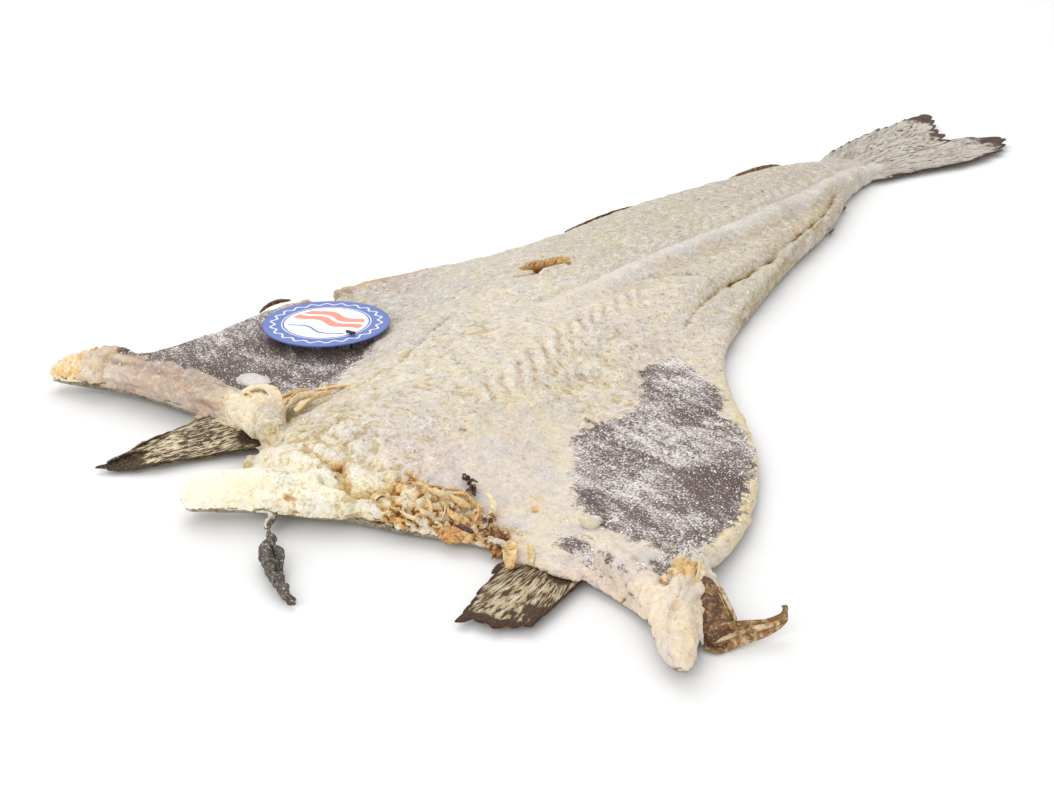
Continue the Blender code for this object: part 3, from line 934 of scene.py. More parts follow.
def zones(points, normals):
    """Named parts of the body as soft masks and distances, one value for each point."""
    x, y, z = points.T
    xy = points[:, :2]
    warp = np.stack([fractal(points, 14.0, 5, 2), fractal(points, 14.0, 6, 2), 0.0 * x], axis=1)
    right = polygon_depth(xy, RIGHT_LINING)
    left = polygon_depth(xy, LEFT_LINING)
    scrap = polygon_depth(xy, RIGHT_SCRAP)
    lining = np.maximum(np.maximum(right, left), scrap)
    on_lining = smooth(-3.0, 3.0, lining)
    dry = 1.0 - on_lining
    tear, _ = path_distance(xy, ((-38, 244), (-39, 237), (-45, 234)))
    along = (x - HOLE[0]) * 0.3 + (y - HOLE[1]) * 0.954
    across = (x - HOLE[0]) * 0.954 - (y - HOLE[1]) * 0.3
    furrow, _ = path_distance(xy, FURROW)
    crack, _ = path_distance(xy, COLLAR_CRACK)
    branches = np.min([path_distance(xy, branch)[0] for branch in CREASE_BRANCHES], axis=0)
    groove, _ = path_distance(xy, LUG_GROOVE)
    return {
        "warp": warp,
        "top": smooth(0.25, 0.75, normals[:, 2]),
        "below": smooth(-0.1, -0.6, normals[:, 2]),
        "lining": lining,
        "on_lining": on_lining,
        "edge": polygon_depth(xy, OUTLINE),
        "shoulder": smooth(250.0, 150.0, y) * dry,
        "nape": smooth(75.0, 35.0, y) * smooth(60.0, 30.0, x) * smooth(-75.0, -50.0, x),
        "lobe": bump(np.hypot((x + 42.0) / 26.0, (y + 2.0) / 13.0), 1.0),
        "tail": smooth(190.0, 280.0, y),
        "fan": smooth(18.0, 40.0, x) * smooth(140.0, 100.0, y) * smooth(132.0, 118.0, x) * dry,
        "left_roll": smooth(-66.0, -92.0, x) * smooth(76.0, 66.0, y),
        "right_lug": smooth(96.0, 118.0, x) * smooth(44.0, 30.0, y),
        "ragged": smooth(18.0, 28.0, x) * smooth(82.0, 70.0, x) * smooth(40.0, 30.0, y),
        "knot": bump(np.hypot((x + 59.0) / 17.0, (y - 52.0) / 11.0), 1.0),
        "fork": bump(np.hypot((x - 142.0) / 6.5, (y - 25.0) / 11.0), 1.0),
        "valley": x - line_x(y, SPINE_VALLEY) - 1.2 * warp[:, 0],
        "crease": x - line_x(y, CREASE) - 1.5 * warp[:, 1],
        "branches": branches + 0.8 * noise(points, 4.0, 31),
        "second": x - line_x(y, SECOND_CREASE) - 2.0 * warp[:, 0],
        "hole": np.hypot(along / 12.5, across / 6.6) + 0.25 * noise(points, 6.0, 19),
        "tear": tear + 0.5 * noise(points, 3.0, 20),
        "furrow": furrow + 0.8 * noise(points, 3.0, 21),
        "crack": crack + 1.1 * noise(points, 4.0, 22),
        "groove": groove + 0.7 * noise(points, 4.0, 32),
    }


def sculpt(points, normals):
    """Moves the points of the even body and returns them with the attributes that steer its colours."""
    x, y, z = points.T
    at = zones(points, normals)
    warp, top, below = at["warp"], at["top"], at["below"]
    on_lining, nape, shoulder, tail = at["on_lining"], at["nape"], at["shoulder"], at["tail"]
    valley = at["valley"]
    rear = smooth(175.0, 225.0, y)
    rim = smooth(13.0, 6.0, at["edge"]) * smooth(75.0, 95.0, x) * smooth(40.0, 55.0, y)
    ridge_band = bump(valley - 9.5, 8.0) * rear
    ends = smooth(545.0, 575.0, y)
    tip = smooth(-150.0, -160.0, x)
    calm = np.maximum.reduce([
        0.6 * at["left_roll"] * (1.0 - 0.9 * tip), 0.75 * at["right_lug"], 0.75 * on_lining,
        0.8 * smooth(0.15, 0.6, at["lobe"]), 0.65 * at["fan"], 0.6 * ridge_band, 0.9 * ends,
        0.6 * rim, 0.5 * smooth(0.2, 0.7, at["knot"]),
    ])
    loose = points + 3.0 * warp

    patchy = 0.5 + 0.75 * smooth(-0.5, 0.5, noise(points, 38.0, 41))
    broad = fractal(points, 34.0, 11, 3)
    folds = fractal(loose, 15.0, 15, 2)
    lumps = puffs(loose, 10.0, 12, 3, 0.55)
    crust = puffs(loose, 4.4, 13, 2, 0.6)
    grain = fractal(points, 2.8, 14, 2, 0.7)
    turned = np.stack([0.5 * loose[:, 0] + 0.3 * y, loose[:, 1] - 0.3 * x, z], axis=1)
    wrinkles = ridges(turned, 5.6, 42)
    fan_spot = np.stack([0.1 * loose[:, 0], loose[:, 1] + 0.12 * x, 0.3 * z], axis=1)
    fan = fractal(fan_spot, 3.0, 16, 2, 0.7)
    long_spot = np.stack([loose[:, 0], 0.14 * loose[:, 1], 0.3 * z], axis=1)
    long_fibres = fractal(long_spot, 3.0, 17, 2, 0.7)

    fluff = (0.32 + 0.75 * nape + 0.3 * shoulder) * patchy * (1.0 - 0.8 * calm)
    rise = 1.2 * broad + 1.1 * folds * (0.4 + 0.9 * shoulder) * (1.0 - 0.4 * calm)
    rise += 1.9 * fluff * (1.0 - 0.4 * at["fan"]) * (lumps - 0.45)
    rise += 0.45 * fluff * (crust - 0.5)
    rise += (0.17 - 0.1 * calm) * grain
    rise += 0.4 * fluff * (wrinkles - 0.25)
    rise += 0.6 * fan * at["fan"]
    rise += 0.4 * long_fibres * tail + 1.0 * long_fibres * at["right_lug"]
    roll_spot = np.stack([0.1 * loose[:, 0], loose[:, 1], loose[:, 2]], axis=1)
    rise += 2.2 * fractal(roll_spot, 5.0, 18, 3) * at["left_roll"] * (1.0 - 0.7 * tip)
    rise -= 0.9 * ridges(points * (0.35, 1.0, 1.0), 6.0, 62) * at["left_roll"] * (1.0 - 0.7 * tip)
    rise += 0.5 * folds * at["right_lug"] - 0.7 * ridges(points * (1.0, 0.35, 0.6), 6.0, 63) * at["right_lug"]

    # Spine: a sharp valley, a smooth frosted ridge on its right, rows of muscle blocks beside it.
    rise -= 2.6 * bump(valley, 2.8) * rear
    rise += 2.8 * bump(valley - 9.5, 6.5) * rear * smooth(585.0, 540.0, y)
    rise -= 1.6 * bump(valley - 20.0, 5.0) * rear
    rise += 1.5 * bump(valley + 22.0, 8.0) * rear * smooth(560.0, 520.0, y)
    blocks = np.abs(np.sin(np.pi * ((0.87 * x + 0.5 * y) / 6.4 + 0.9 * warp[:, 0]))) - 0.55
    block_row = bump(valley + 10.0, 7.0) * (0.6 + 0.5 * noise(points, 30.0, 64))
    rise += 1.0 * blocks * block_row * smooth(235.0, 290.0, y) * smooth(560.0, 535.0, y)
    scallops = np.abs(np.sin(np.pi * ((0.8 * x + 0.6 * y) / 7.0 + 0.5 * warp[:, 1]))) - 0.5
    scallop_row = bump(x - line_x(y, SCALLOPS) - 2.0 * warp[:, 0], 6.5)
    scallop_row *= smooth(88.0, 105.0, y) * smooth(262.0, 235.0, y)
    rise += 1.7 * scallops * scallop_row

    in_crease = bump(at["crease"], 1.0) * smooth(262.0, 292.0, y) * smooth(515.0, 480.0, y)
    in_crease *= 0.6 + 0.5 * smooth(-0.4, 0.3, noise(points, 18.0, 44))
    in_second = bump(at["second"], 1.1) * smooth(250.0, 275.0, y) * smooth(460.0, 430.0, y)
    in_branch = bump(at["branches"], 1.0)
    rise -= 2.6 * in_crease + 1.5 * in_second + 1.5 * in_branch
    along_crease = smooth(250.0, 290.0, y) * smooth(520.0, 480.0, y)
    rise += 1.8 * bump(at["crease"] + 6.5, 4.5) * along_crease
    rise += 1.5 * bump(at["crease"] - 5.5, 4.0) * along_crease

    in_hole = smooth(1.15, 0.7, at["hole"])
    in_tear = smooth(2.2, 0.8, at["tear"])
    rise -= 7.5 * in_hole + 2.4 * in_tear
    rise += 1.3 * bump(at["hole"] - 1.3, 0.25) * top
    in_furrow = bump(at["furrow"], 1.5)
    pit = bump(np.hypot(x - 1.0, (y - 25.0) * 0.8), 2.5)
    in_crack = bump(at["crack"], 1.3)
    rise -= 3.4 * in_furrow + 4.5 * pit + 2.0 * in_crack
    pricks = np.zeros(len(points))
    for px, py, reach, depth in PINPRICKS:
        spot = bump(np.hypot(x - px, 0.7 * (y - py)) + 0.4 * noise(points, 2.5, 33), reach)
        pricks = np.maximum(pricks, spot)
        rise -= depth * spot
    from_ring = x + 148.0 - 0.3 * (y - 60.0) - 1.2 * noise(points, 8.0, 23)
    on_lug = smooth(-120.0, -128.0, x) * smooth(84.0, 74.0, y)
    ring = bump(from_ring, 1.4) * on_lug
    rise += on_lug * (1.6 * bump(from_ring + 6.0, 6.0) - 1.4 * ring - 1.0 * bump(from_ring - 5.0, 4.0))
    rise += tip * 2.2 * (puffs(points, 6.0, 34, 3) - 0.45)

    # Torn places: the ragged cut of the nape, the knot of membrane, the fork of the right lug.
    shreds = puffs(loose, 5.2, 24, 3, 0.6)
    slits = ridges(points, 3.6, 35, 2.6)
    rise += at["ragged"] * (5.0 * (shreds - 0.45) - 1.8 * slits + 0.2)
    rise += at["knot"] * (3.4 * (puffs(loose, 9.0, 36, 3) - 0.45) - 1.5 * ridges(points, 6.0, 37, 2.4))
    rise += at["fork"] * (3.2 * (puffs(points, 5.0, 38, 2) - 0.55) - 1.0 * ridges(points, 3.4, 39, 2.4))
    in_groove = bump(at["groove"], 1.6)
    rise -= 1.6 * in_groove * top
    salt_lumps, _ = pebbles(loose, 2.6, 25)
    rise += 0.25 * on_lining * (0.55 - salt_lumps)

    side = (1.0 - top) * (1.0 - below)
    rise = rise * (top + 0.75 * side) + below * (0.25 * broad + 0.12 * grain)
    rise += side * (0.9 * fractal(points, 6.0, 26, 2) + 1.2 * nape * (puffs(points, 5.0, 40, 2) - 0.5))
    moved = points + normals * rise[:, None]

    # The front rim is undercut, so its skin edge stands just clear of the floor.
    tuck = smooth(9.0, 0.0, at["edge"]) * smooth(60.0, 40.0, y) * smooth(8.0, 2.0, z)
    moved[:, 2] += 1.0 * tuck * (1.0 - at["right_lug"])

    # Short ends: the tips of the left lug and of the nape lobe, and the belly of the right rim.
    moved[:, 0] -= 0.22 * np.minimum(0.0, x + 156.0)
    lobe_end = smooth(-34.0, -54.0, x) * smooth(16.0, 4.0, y)
    moved[:, 0] += 5.5 * lobe_end
    moved[:, 1] -= 2.5 * smooth(-20.0, -34.0, x) * smooth(-60.0, -50.0, x) * smooth(12.0, -2.0, y)
    moved[:, 0] -= 1.5 * smooth(112.0, 138.0, x) * bump(y - 100.0, 28.0)
    lug_end = smooth(130.0, 146.0, x) * smooth(20.0, -5.0, y)
    moved[:, 0] -= 1.0 * lug_end
    moved[:, 1] -= 1.6 * lug_end
    lug_side = smooth(146.0, 156.0, x) * smooth(26.0, 12.0, y) * smooth(-18.0, 4.0, y)
    moved[:, 0] -= 3.4 * lug_side
    moved[:, 1] += 2.0 * smooth(92.0, 106.0, x) * smooth(150.0, 138.0, x) * smooth(20.0, 4.0, y)

    # The flesh lies flat under the label.
    under_label = smooth(37.0, 30.0, np.hypot(x - LABEL_CENTRE[0], y - LABEL_CENTRE[1]))
    seat = LABEL_LOW.z / MM - 0.7
    lowered = np.minimum(moved[:, 2], seat)
    moved[:, 2] += under_label * (lowered - moved[:, 2]) * (z > 8.0)
    moved = keep_in_box(moved)

    at.update(in_crease=in_crease, in_second=in_second, in_branch=in_branch, in_tear=in_tear, ring=ring)
    at.update(in_furrow=in_furrow, pit=pit, in_crack=in_crack, blocks=blocks * block_row * tail)
    at.update(scallops=scallops * scallop_row, fluff=fluff, tip=tip, shreds=shreds, slits=slits)
    at.update(pricks=pricks, in_groove=in_groove, from_ring=from_ring, on_lug=on_lug, ends=ends)
    # relief carries painted light to the flesh colour: low in the hollows between the lumps and in the cracks for
    # painted shade, high on the lumps and on the muscle block and scallop crests for painted highlight.
    relief = 0.5 + fluff * (1.1 * (lumps - 0.45) + 0.5 * (crust - 0.5) + 0.35 * (wrinkles - 0.3))
    relief += 0.12 * folds
    cracks = np.maximum.reduce([in_crease, in_furrow, in_crack, ring, 0.6 * in_second, 0.7 * in_branch])
    relief -= 0.5 * cracks - 0.35 * at["blocks"] - 0.35 * at["scallops"]
    relief = np.where(on_lining > 0.5, 0.5, relief)
    return moved, {
        "relief": relief,
        "calm": np.clip(calm, 0.0, 1.0) * (1.0 - at["ragged"]),
        "lining": np.where(top > 0.2, at["lining"], -6.0),
        "frost": frost_places(points),
        "orange": orange_places(points, at),
        "brown": brown_places(points, at),
        "skin": skin_places(points, normals, at),
        "tint": tints(points, at),
    }


def frost_places(points):
    """How much more salt than usual hides the belly lining."""
    x, y, z = points.T
    upper = smooth(120.0, 165.0, y) * (x > 0)
    middle = bump(np.hypot((x - 88.0) / 34.0, (y - 118.0) / 12.0), 1.0)
    wander = 0.12 * fractal(points, 22.0, 56, 3)
    back = smooth(-118.0, -134.0, x) * smooth(80.0, 110.0, y)
    right = smooth(98.0, 122.0, x) * bump(y - 105.0, 45.0)
    return 0.045 + 0.05 * upper + 0.08 * middle - 0.12 * right - 0.06 * (x < -60) + 0.07 * back + wander


SCALLOPS = ((85, 20), (111, 20), (130, 19), (152, 16), (173, 14), (199, 14), (240, 18), (262, 20))


def orange_places(points, at):
    """Where the flesh is amber: lug tip, fork of the right lug, knot, torn edge, puncture and rim spots."""
    x, y, z = points.T
    crusty = smooth(-0.2, 0.4, noise(points, 4.0, 28))
    amber_spot = bump(np.hypot(x - 68.0, (y - 52.0) * 0.8), 6.0)
    rim = smooth(9.0, 3.0, at["edge"]) * smooth(190.0, 170.0, y) * (np.abs(x) > 80) * (y > 60)
    spotted = smooth(0.3, 0.7, noise(points, 6.0, 27))
    found = 0.5 * at["tip"] * crusty + 0.5 * amber_spot * crusty + 0.85 * at["fork"] * smooth(0.15, 0.75, at["fork"] + 0.3 * crusty)
    found += at["knot"] * (0.12 + 0.35 * smooth(0.1, 0.6, noise(points, 6.0, 57)))
    found += at["ragged"] * (0.22 + 0.65 * smooth(0.6, 0.25, at["shreds"]) + 0.3 * at["slits"])
    found += 1.1 * smooth(1.3, 1.05, at["hole"]) + 0.6 * at["in_tear"]
    found += 0.5 * at["in_furrow"] + 0.85 * at["pit"] + 0.3 * at["in_crack"] + 0.35 * at["pricks"]
    found += rim * (0.1 + 0.45 * spotted)
    found += 0.75 * smooth(9.0, 4.0, at["edge"]) * bump(y - 216.0, 22.0) * (x < -80)
    return found * (1.0 - at["below"])


def brown_places(points, at):
    """Where the flesh is dark brown: deep in the puncture, on a nape smear and along the long crease."""
    x, y, z = points.T
    spot = np.hypot((x + 5.0) * 0.6, (y - 3.0) * 1.5) + 0.9 * noise(points, 3.0, 30)
    smear = 0.72 * bump(spot, 1.9)
    deep = 1.15 * smooth(1.1, 0.8, at["hole"])
    streak = 0.78 * smooth(0.4, 0.95, at["in_crease"])
    torn = 0.9 * at["ragged"] * smooth(0.46, 0.2, at["shreds"])
    branch = 0.4 * smooth(0.5, 0.95, at["in_branch"])
    pricks = 0.7 * smooth(0.4, 0.9, at["pricks"])
    pit = 0.7 * smooth(0.5, 0.9, at["pit"])
    corner = 0.5 * bump(np.hypot(x + 119.0, y - 193.0), 5.0)
    return np.maximum.reduce([smear, deep, 0.75 * at["in_tear"], streak, torn, branch, pricks, pit, corner])


def skin_places(points, normals, at):
    """Where dark scaly skin shows along the lower front edge."""
    x, y, z = points.T
    front = smooth(34.0, 22.0, y) * smooth(-46.0, -34.0, x) * smooth(64.0, 50.0, x)
    under = smooth(0.35, -0.2, normals[:, 2]) * smooth(8.5, 4.5, z + 1.5 * noise(points, 9.0, 59))
    return front * under * (0.8 + 0.4 * noise(points, 7.0, 58))


TINTS = (
    (-44, -2, 16, (255, 250, 232)),
    (-10, 10, 20, (252, 244, 222)),
    (20, 14, 16, (246, 236, 208)),
    (-30, 50, 26, (218, 205, 179)),
    (0, 60, 24, (219, 208, 193)),
    (28, 50, 16, (224, 208, 198)),
    (50, 60, 20, (221, 211, 200)),
    (80, 45, 18, (227, 215, 193)),
    (30, 95, 26, (223, 211, 188)),
    (-10, 110, 34, (225, 215, 195)),
    (-55, 140, 26, (213, 204, 192)),
    (20, 150, 30, (225, 214, 195)),
    (-10, 190, 36, (225, 215, 198)),
    (-80, 200, 30, (205, 197, 186)),
    (-105, 215, 18, (200, 187, 174)),
    (-60, 250, 30, (211, 201, 186)),
    (45, 200, 30, (221, 209, 193)),
    (20, 240, 30, (223, 213, 197)),
    (50, 260, 20, (209, 198, 181)),
    (-40, 300, 34, (204, 195, 177)),
    (0, 300, 20, (210, 200, 187)),
    (35, 300, 24, (209, 200, 183)),
    (-30, 370, 34, (200, 191, 172)),
    (20, 370, 26, (205, 197, 181)),
    (-20, 440, 30, (197, 186, 170)),
    (20, 450, 24, (198, 188, 174)),
    (5, 520, 30, (195, 185, 171)),
    (8, 580, 24, (191, 184, 174)),
    (-178, 57, 16, (250, 228, 190)),
    (-150, 60, 14, (222, 202, 181)),
    (-128, 62, 16, (199, 176, 158)),
    (-100, 60, 20, (194, 172, 152)),
    (-66, 52, 14, (248, 233, 204)),
    (-146, 110, 12, (200, 182, 151)),
    (-130, 190, 12, (193, 174, 143)),
    (132, 150, 16, (228, 213, 184)),
    (138, 100, 12, (226, 210, 178)),
    (140, 60, 12, (230, 215, 186)),
    (118, 15, 14, (222, 203, 186)),
    (140, 5, 18, (236, 220, 197)),
    (158, -10, 14, (232, 214, 187)),
)


STREAKED_PATCH = ((100, 38), (109, 44), (121, 46), (127, 38), (127, 27), (121, 20), (112, 24), (104, 31))


def tints(points, at):
    """Base colour of every point, blended from the colours of the places near it."""
    x, y, z = points.T
    total = np.zeros((len(points), 3))
    weights = np.full(len(points), 1e-9)
    for px, py, reach, colour in TINTS:
        w = 1.0 / (0.05 + ((x - px) ** 2 + (y - py) ** 2) / reach**2) ** 2
        total += w[:, None] * linear(colour)
        weights += w
    tint = total / weights[:, None]

    def wash(mask, colour):
        nonlocal tint
        tint = tint + np.clip(mask, 0.0, 1.0)[:, None] * (linear(colour) - tint)

    rear = smooth(215.0, 265.0, y)
    streaks = 0.6 + 0.5 * noise(points, 12.0, 51)
    wash(0.75 * bump(at["valley"] - 9.0, 8.0) * rear * streaks, (226, 222, 220))
    wash(0.5 * bump(at["valley"] + 2.0, 3.0) * rear, (216, 208, 196))
    wash(0.5 * bump(at["valley"] - 21.0, 6.0) * rear, (192, 176, 146))
    # Painted shade darker in the troughs between the muscle blocks and the scallops, painted highlight lighter on their
    # crests.
    wash(0.4 * smooth(0.05, -0.4, at["blocks"]), (184, 162, 132))
    wash(0.4 * smooth(0.1, 0.4, at["blocks"]), (228, 220, 202))
    wash(0.55 * smooth(0.05, -0.35, at["scallops"]), (200, 168, 148))
    wash(0.4 * smooth(0.1, 0.4, at["scallops"]), (238, 229, 212))
    wash(0.5 * bump(at["crease"] + 3.0, 3.5) * smooth(270.0, 300.0, y) * smooth(520.0, 480.0, y), (198, 180, 146))
    lines = at["fan"] * smooth(-0.1, 0.5, fractal(points * (0.12, 1.0, 0.3), 3.4, 52, 2))
    wash(0.6 * lines, (208, 200, 200))
    patch = polygon_depth(points[:, :2], STREAKED_PATCH) + 1.5 * noise(points, 5.0, 65)
    streaked = 0.7 + 0.5 * fractal(points * (0.15, 1.0, 0.3), 2.6, 66, 2)
    wash(smooth(-1.0, 2.0, patch) * streaked, (224, 215, 208))
    grey = smooth(0.05, 0.55, fractal(points, 30.0, 53, 3)) * (1.0 - at["nape"])
    wash(0.35 * grey, (206, 200, 196))
    rim = smooth(10.0, 4.0, at["edge"] + 2.0 * noise(points, 8.0, 54)) * smooth(240.0, 200.0, y)
    rim *= smooth(70.0, 90.0, np.abs(x)) * smooth(60.0, 76.0, y)
    wash(0.65 * rim * (x > 0), (228, 210, 170))
    wash(0.75 * rim * (x < 0), (200, 176, 138))
    roll_spot = points * (0.1, 1.0, 1.0)
    strips = smooth(0.0, 0.5, fractal(roll_spot, 4.5, 55, 2)) * at["left_roll"] * smooth(-160, -140, x)
    wash(0.85 * strips, (160, 132, 120))
    light = smooth(0.0, 0.5, fractal(roll_spot, 3.6, 60, 2)) * at["left_roll"] * smooth(-160, -140, x)
    wash(0.6 * light, (226, 208, 182))
    crown = at["left_roll"] * smooth(60.0, 70.0, y + 3.0 * noise(points, 7.0, 67)) * smooth(-158.0, -140.0, x)
    wash(0.55 * crown, (160, 140, 136))
    wash(0.5 * at["right_lug"] * smooth(0.1, 0.6, fractal(points * (1.0, 0.2, 0.5), 5.0, 61, 2)), (226, 208, 200))
    return tint


BODY_PIECES = (
    ("flesh_left_shoulder", -1e9, -10.0, -1e9, 215.0),
    ("flesh_right_shoulder", -10.0, 1e9, -1e9, 215.0),
    ("flesh_loin", -1e9, 1e9, 215.0, 400.0),
    ("flesh_tail", -1e9, 1e9, 400.0, 1e9),
)


def split_body(body, materials):
    """Cuts the finished body into flesh pieces and the skin under them, with matching shading at the joins."""
    mesh = body.data
    points = mesh_points(mesh)
    normals = mesh_normals(mesh)
    polygon = np.zeros(len(mesh.polygons) * 3)
    mesh.polygons.foreach_get("center", polygon)
    centre = plan(polygon.reshape(-1, 3))
    mesh.polygons.foreach_get("normal", polygon)
    facing = polygon.reshape(-1, 3)
    starts = np.zeros(len(mesh.polygons), int)
    sizes = np.zeros(len(mesh.polygons), int)
    mesh.polygons.foreach_get("loop_start", starts)
    mesh.polygons.foreach_get("loop_total", sizes)
    corner = np.zeros(len(mesh.loops), int)
    mesh.loops.foreach_get("vertex_index", corner)
    skin = (facing[:, 2] < -0.35) & (centre[:, 2] < 9.0)
    numbers = {}
    for name in ("relief", "calm", "lining", "frost", "orange", "brown", "skin"):
        values = np.zeros(len(points), np.float32)
        mesh.attributes[name].data.foreach_get("value", values)
        numbers[name] = values
    tint = np.zeros(len(points) * 4, np.float32)
    mesh.attributes["tint"].data.foreach_get("color", tint)
    tint = tint.reshape(-1, 4)[:, :3]
    made = []
    for name, x0, x1, y0, y1 in BODY_PIECES:
        here = (centre[:, 0] >= x0) & (centre[:, 0] < x1) & (centre[:, 1] >= y0) & (centre[:, 1] < y1)
        for part, chosen, material in (
            (name, here & ~skin, materials["flesh"]),
            (name.replace("flesh", "skin"), here & skin, materials["skin"]),
        ):
            picked = np.nonzero(chosen)[0]
            loops = [corner[starts[i] : starts[i] + sizes[i]] for i in picked]
            used = np.unique(np.concatenate(loops))
            renumber = np.full(len(points), -1)
            renumber[used] = np.arange(len(used))
            piece = make_mesh(part, points[used], [renumber[loop] for loop in loops])
            piece.data.normals_split_custom_set_from_vertices(normals[used].tolist())
            for key, values in numbers.items():
                set_number(piece.data, key, values[used])
            set_colour(piece.data, "tint", tint[used])
            finish_piece(piece, "cod", material)
            made.append(piece)
    return made


def finish_piece(piece, node, material):
    piece.data.materials.clear()
    piece.data.materials.append(material)
    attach(piece, "root")
    if node:
        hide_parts(node)
    return piece


# ---------------------------------------------------------------- fins


def fin(
    name, roots, tips, rays, material, thick=(2.2, 0.9), fray=2.0, seed=1, burn=(5.0, 2.5), scorch=(),
    grid=(1.5, 8.0), root_fade=1.0,
):
    """A dried fin: a thin closed sheet of rays between a root line and a line of tips.

    burn is how far the dark edge reaches in from the tips and from the two sides; scorch lists
    round dark places as (x, y, radius). grid is the width and length of the streaks, root_fade the
    length over which the flesh runs out onto the fin.
    """
    across = rays * 6 + 1
    along = 60
    u = np.linspace(0.0, 1.0, across)
    root = np.linspace(roots[0], roots[1], across)
    tips = np.asarray(tips, float)
    steps = np.linalg.norm(np.diff(tips[:, :2], axis=0), axis=1)
    t = np.concatenate([[0.0], np.cumsum(steps)]) / steps.sum()
    tip = np.stack([np.interp(u, t, tips[:, i]) for i in range(3)], axis=1)
    v = np.linspace(0.0, 1.0, along)
    reach = np.maximum(np.linalg.norm(tip - root, axis=1), 1.0)
    ray = u * rays
    ray_cell = np.stack([np.floor(ray), 0 * ray, 0 * ray], axis=1)
    torn = spread(ray_cell, seed, 3)
    gap = np.abs(np.sin(np.pi * ray))
    change = fray * (0.7 - 1.5 * torn - 0.9 * (1.0 - gap))
    share = v[None, :] * (1.0 + (change / reach)[:, None] * v[None, :])
    points = root[:, None] * (1 - share[..., None]) + tip[:, None] * share[..., None]
    flat = points.reshape(-1, 3)
    wave = fractal(flat, 24.0, seed + 40, 2).reshape(across, along)
    rough = fractal(flat, 3.6, seed + 41, 2).reshape(across, along)
    thickness = thick[0] + (thick[1] - thick[0]) * v[None, :]
    relief = 0.8 * (gap[:, None] ** 0.7 - 0.5) + 0.5 * rough
    uu = u[:, None] + 0.0 * v[None, :]
    side_gap = np.minimum(uu, 1.0 - uu) * steps.sum() * np.maximum(v[None, :], 0.3)
    tip_gap = (1.0 - v[None, :]) * reach[:, None]
    border = np.minimum(side_gap, tip_gap)
    pinch = np.sqrt(np.clip(border / 1.2, 0.04, 1.0))
    height = points[..., 2] + 1.3 * wave * v[None, :]
    top = height + (0.5 * thickness + 0.35 * relief) * pinch
    low = np.maximum(height - (0.5 * thickness - 0.12 * relief) * pinch, 0.1)
    top = np.maximum(top, low + 0.2)
    upper = np.dstack([points[..., :2], top[..., None]])
    lower = np.dstack([points[..., :2], low[..., None]])
    verts = np.vstack([upper.reshape(-1, 3), lower.reshape(-1, 3)])
    piece = make_mesh(name, keep_in_box(verts), shell_faces(across, along))
    outward(piece)
    width = 0.45 * (np.linalg.norm(root[-1] - root[0]) + steps.sum())
    spot = np.dstack([(u * width / grid[0])[:, None] + 0 * uu, reach[:, None] * share / grid[1], 0 * uu])
    spots = spot.reshape(-1, 3)
    wander = 2.0 * fractal(flat, 6.0, seed + 42, 2).reshape(across, along)
    dark = np.maximum(
        smooth(burn[0] + 2.0, 0.5 * burn[0], tip_gap + 2.0 * wander),
        smooth(burn[1] + 1.0, 0.4 * burn[1], side_gap + wander),
    )
    for px, py, radius in scorch:
        far = np.hypot(points[..., 0] - px, points[..., 1] - py) + 0.3 * radius * wander / 2.0
        dark = np.maximum(dark, smooth(1.1 * radius, 0.4 * radius, far))
    dark = dark.ravel()
    set_vector(piece.data, "rays", np.vstack([spots, spots]))
    set_number(piece.data, "dark", np.concatenate([dark, dark]))
    near = smooth(root_fade, 0.25 * root_fade, reach[:, None] * share + 2.0 * wander).ravel()
    set_number(piece.data, "root", np.concatenate([near, near]))
    return finish_piece(piece, "cod", material)


def outward(piece):
    """Turns all faces of a closed piece outwards."""
    work = bmesh.new()
    work.from_mesh(piece.data)
    bmesh.ops.recalc_face_normals(work, faces=work.faces)
    work.to_mesh(piece.data)
    work.free()


def scraps(name, parts, material):
    """One piece from several shaded parts: each is (shade, (points, faces))."""
    points, faces = joined([part for _, part in parts])
    shades = np.concatenate([np.full(len(part[0]), shade) for shade, part in parts])
    low = points[:, 2] < 0.1
    points[low, 2] = 0.1
    piece = make_mesh(name, keep_in_box(points), faces)
    outward(piece)
    set_number(piece.data, "shade", shades)
    return finish_piece(piece, "cod", material)


TAIL_ROOT = ((-8, 560, 6.5), (27, 552, 5.5))
TAIL_TIPS = (
    (-12, 600, 7.5), (-11, 631, 7.5), (-7, 671, 7.5), (0, 703, 7.5), (3, 728, 7.5), (9, 748, 7.5),
    (19, 744, 7), (29, 718, 6.5), (44, 688, 6), (50, 684, 5.5), (54, 705, 5), (63, 712, 5), (71, 711, 5),
    (80, 717, 4.4), (85, 684, 4), (82, 659, 4), (74, 638, 3.5), (60, 615, 3.5), (47, 592, 3.5), (36, 568, 4),
)
LEFT_PECTORAL_ROOT = ((-46, 50, 6), (-84, 62, 9))
LEFT_PECTORAL_TIPS = (
    (-60, 40, 4), (-69, 31, 3.4), (-76, 22, 3), (-82, 12, 3), (-91, 6, 2.6), (-102, 1, 2.2), (-100, 7, 3),
    (-98, 14, 4), (-97, 24, 5), (-93, 36, 6), (-88, 48, 8),
)
RIGHT_PECTORAL_ROOT = ((82, 28, 4.4), (106, 26, 3.6))
RIGHT_PECTORAL_TIPS = (
    (77, 12, 4.6), (79, 4, 4.2), (80, -5, 3.6), (81, -13, 3), (82, -22, 2.4), (87, -21, 2.6), (95, -21, 2.6),
    (101, -18, 2.6), (106, -13, 3), (107, -4, 3.2), (107, 6, 3.4), (107, 16, 3.6),
)


# ---------------------------------------------------------------- scraps


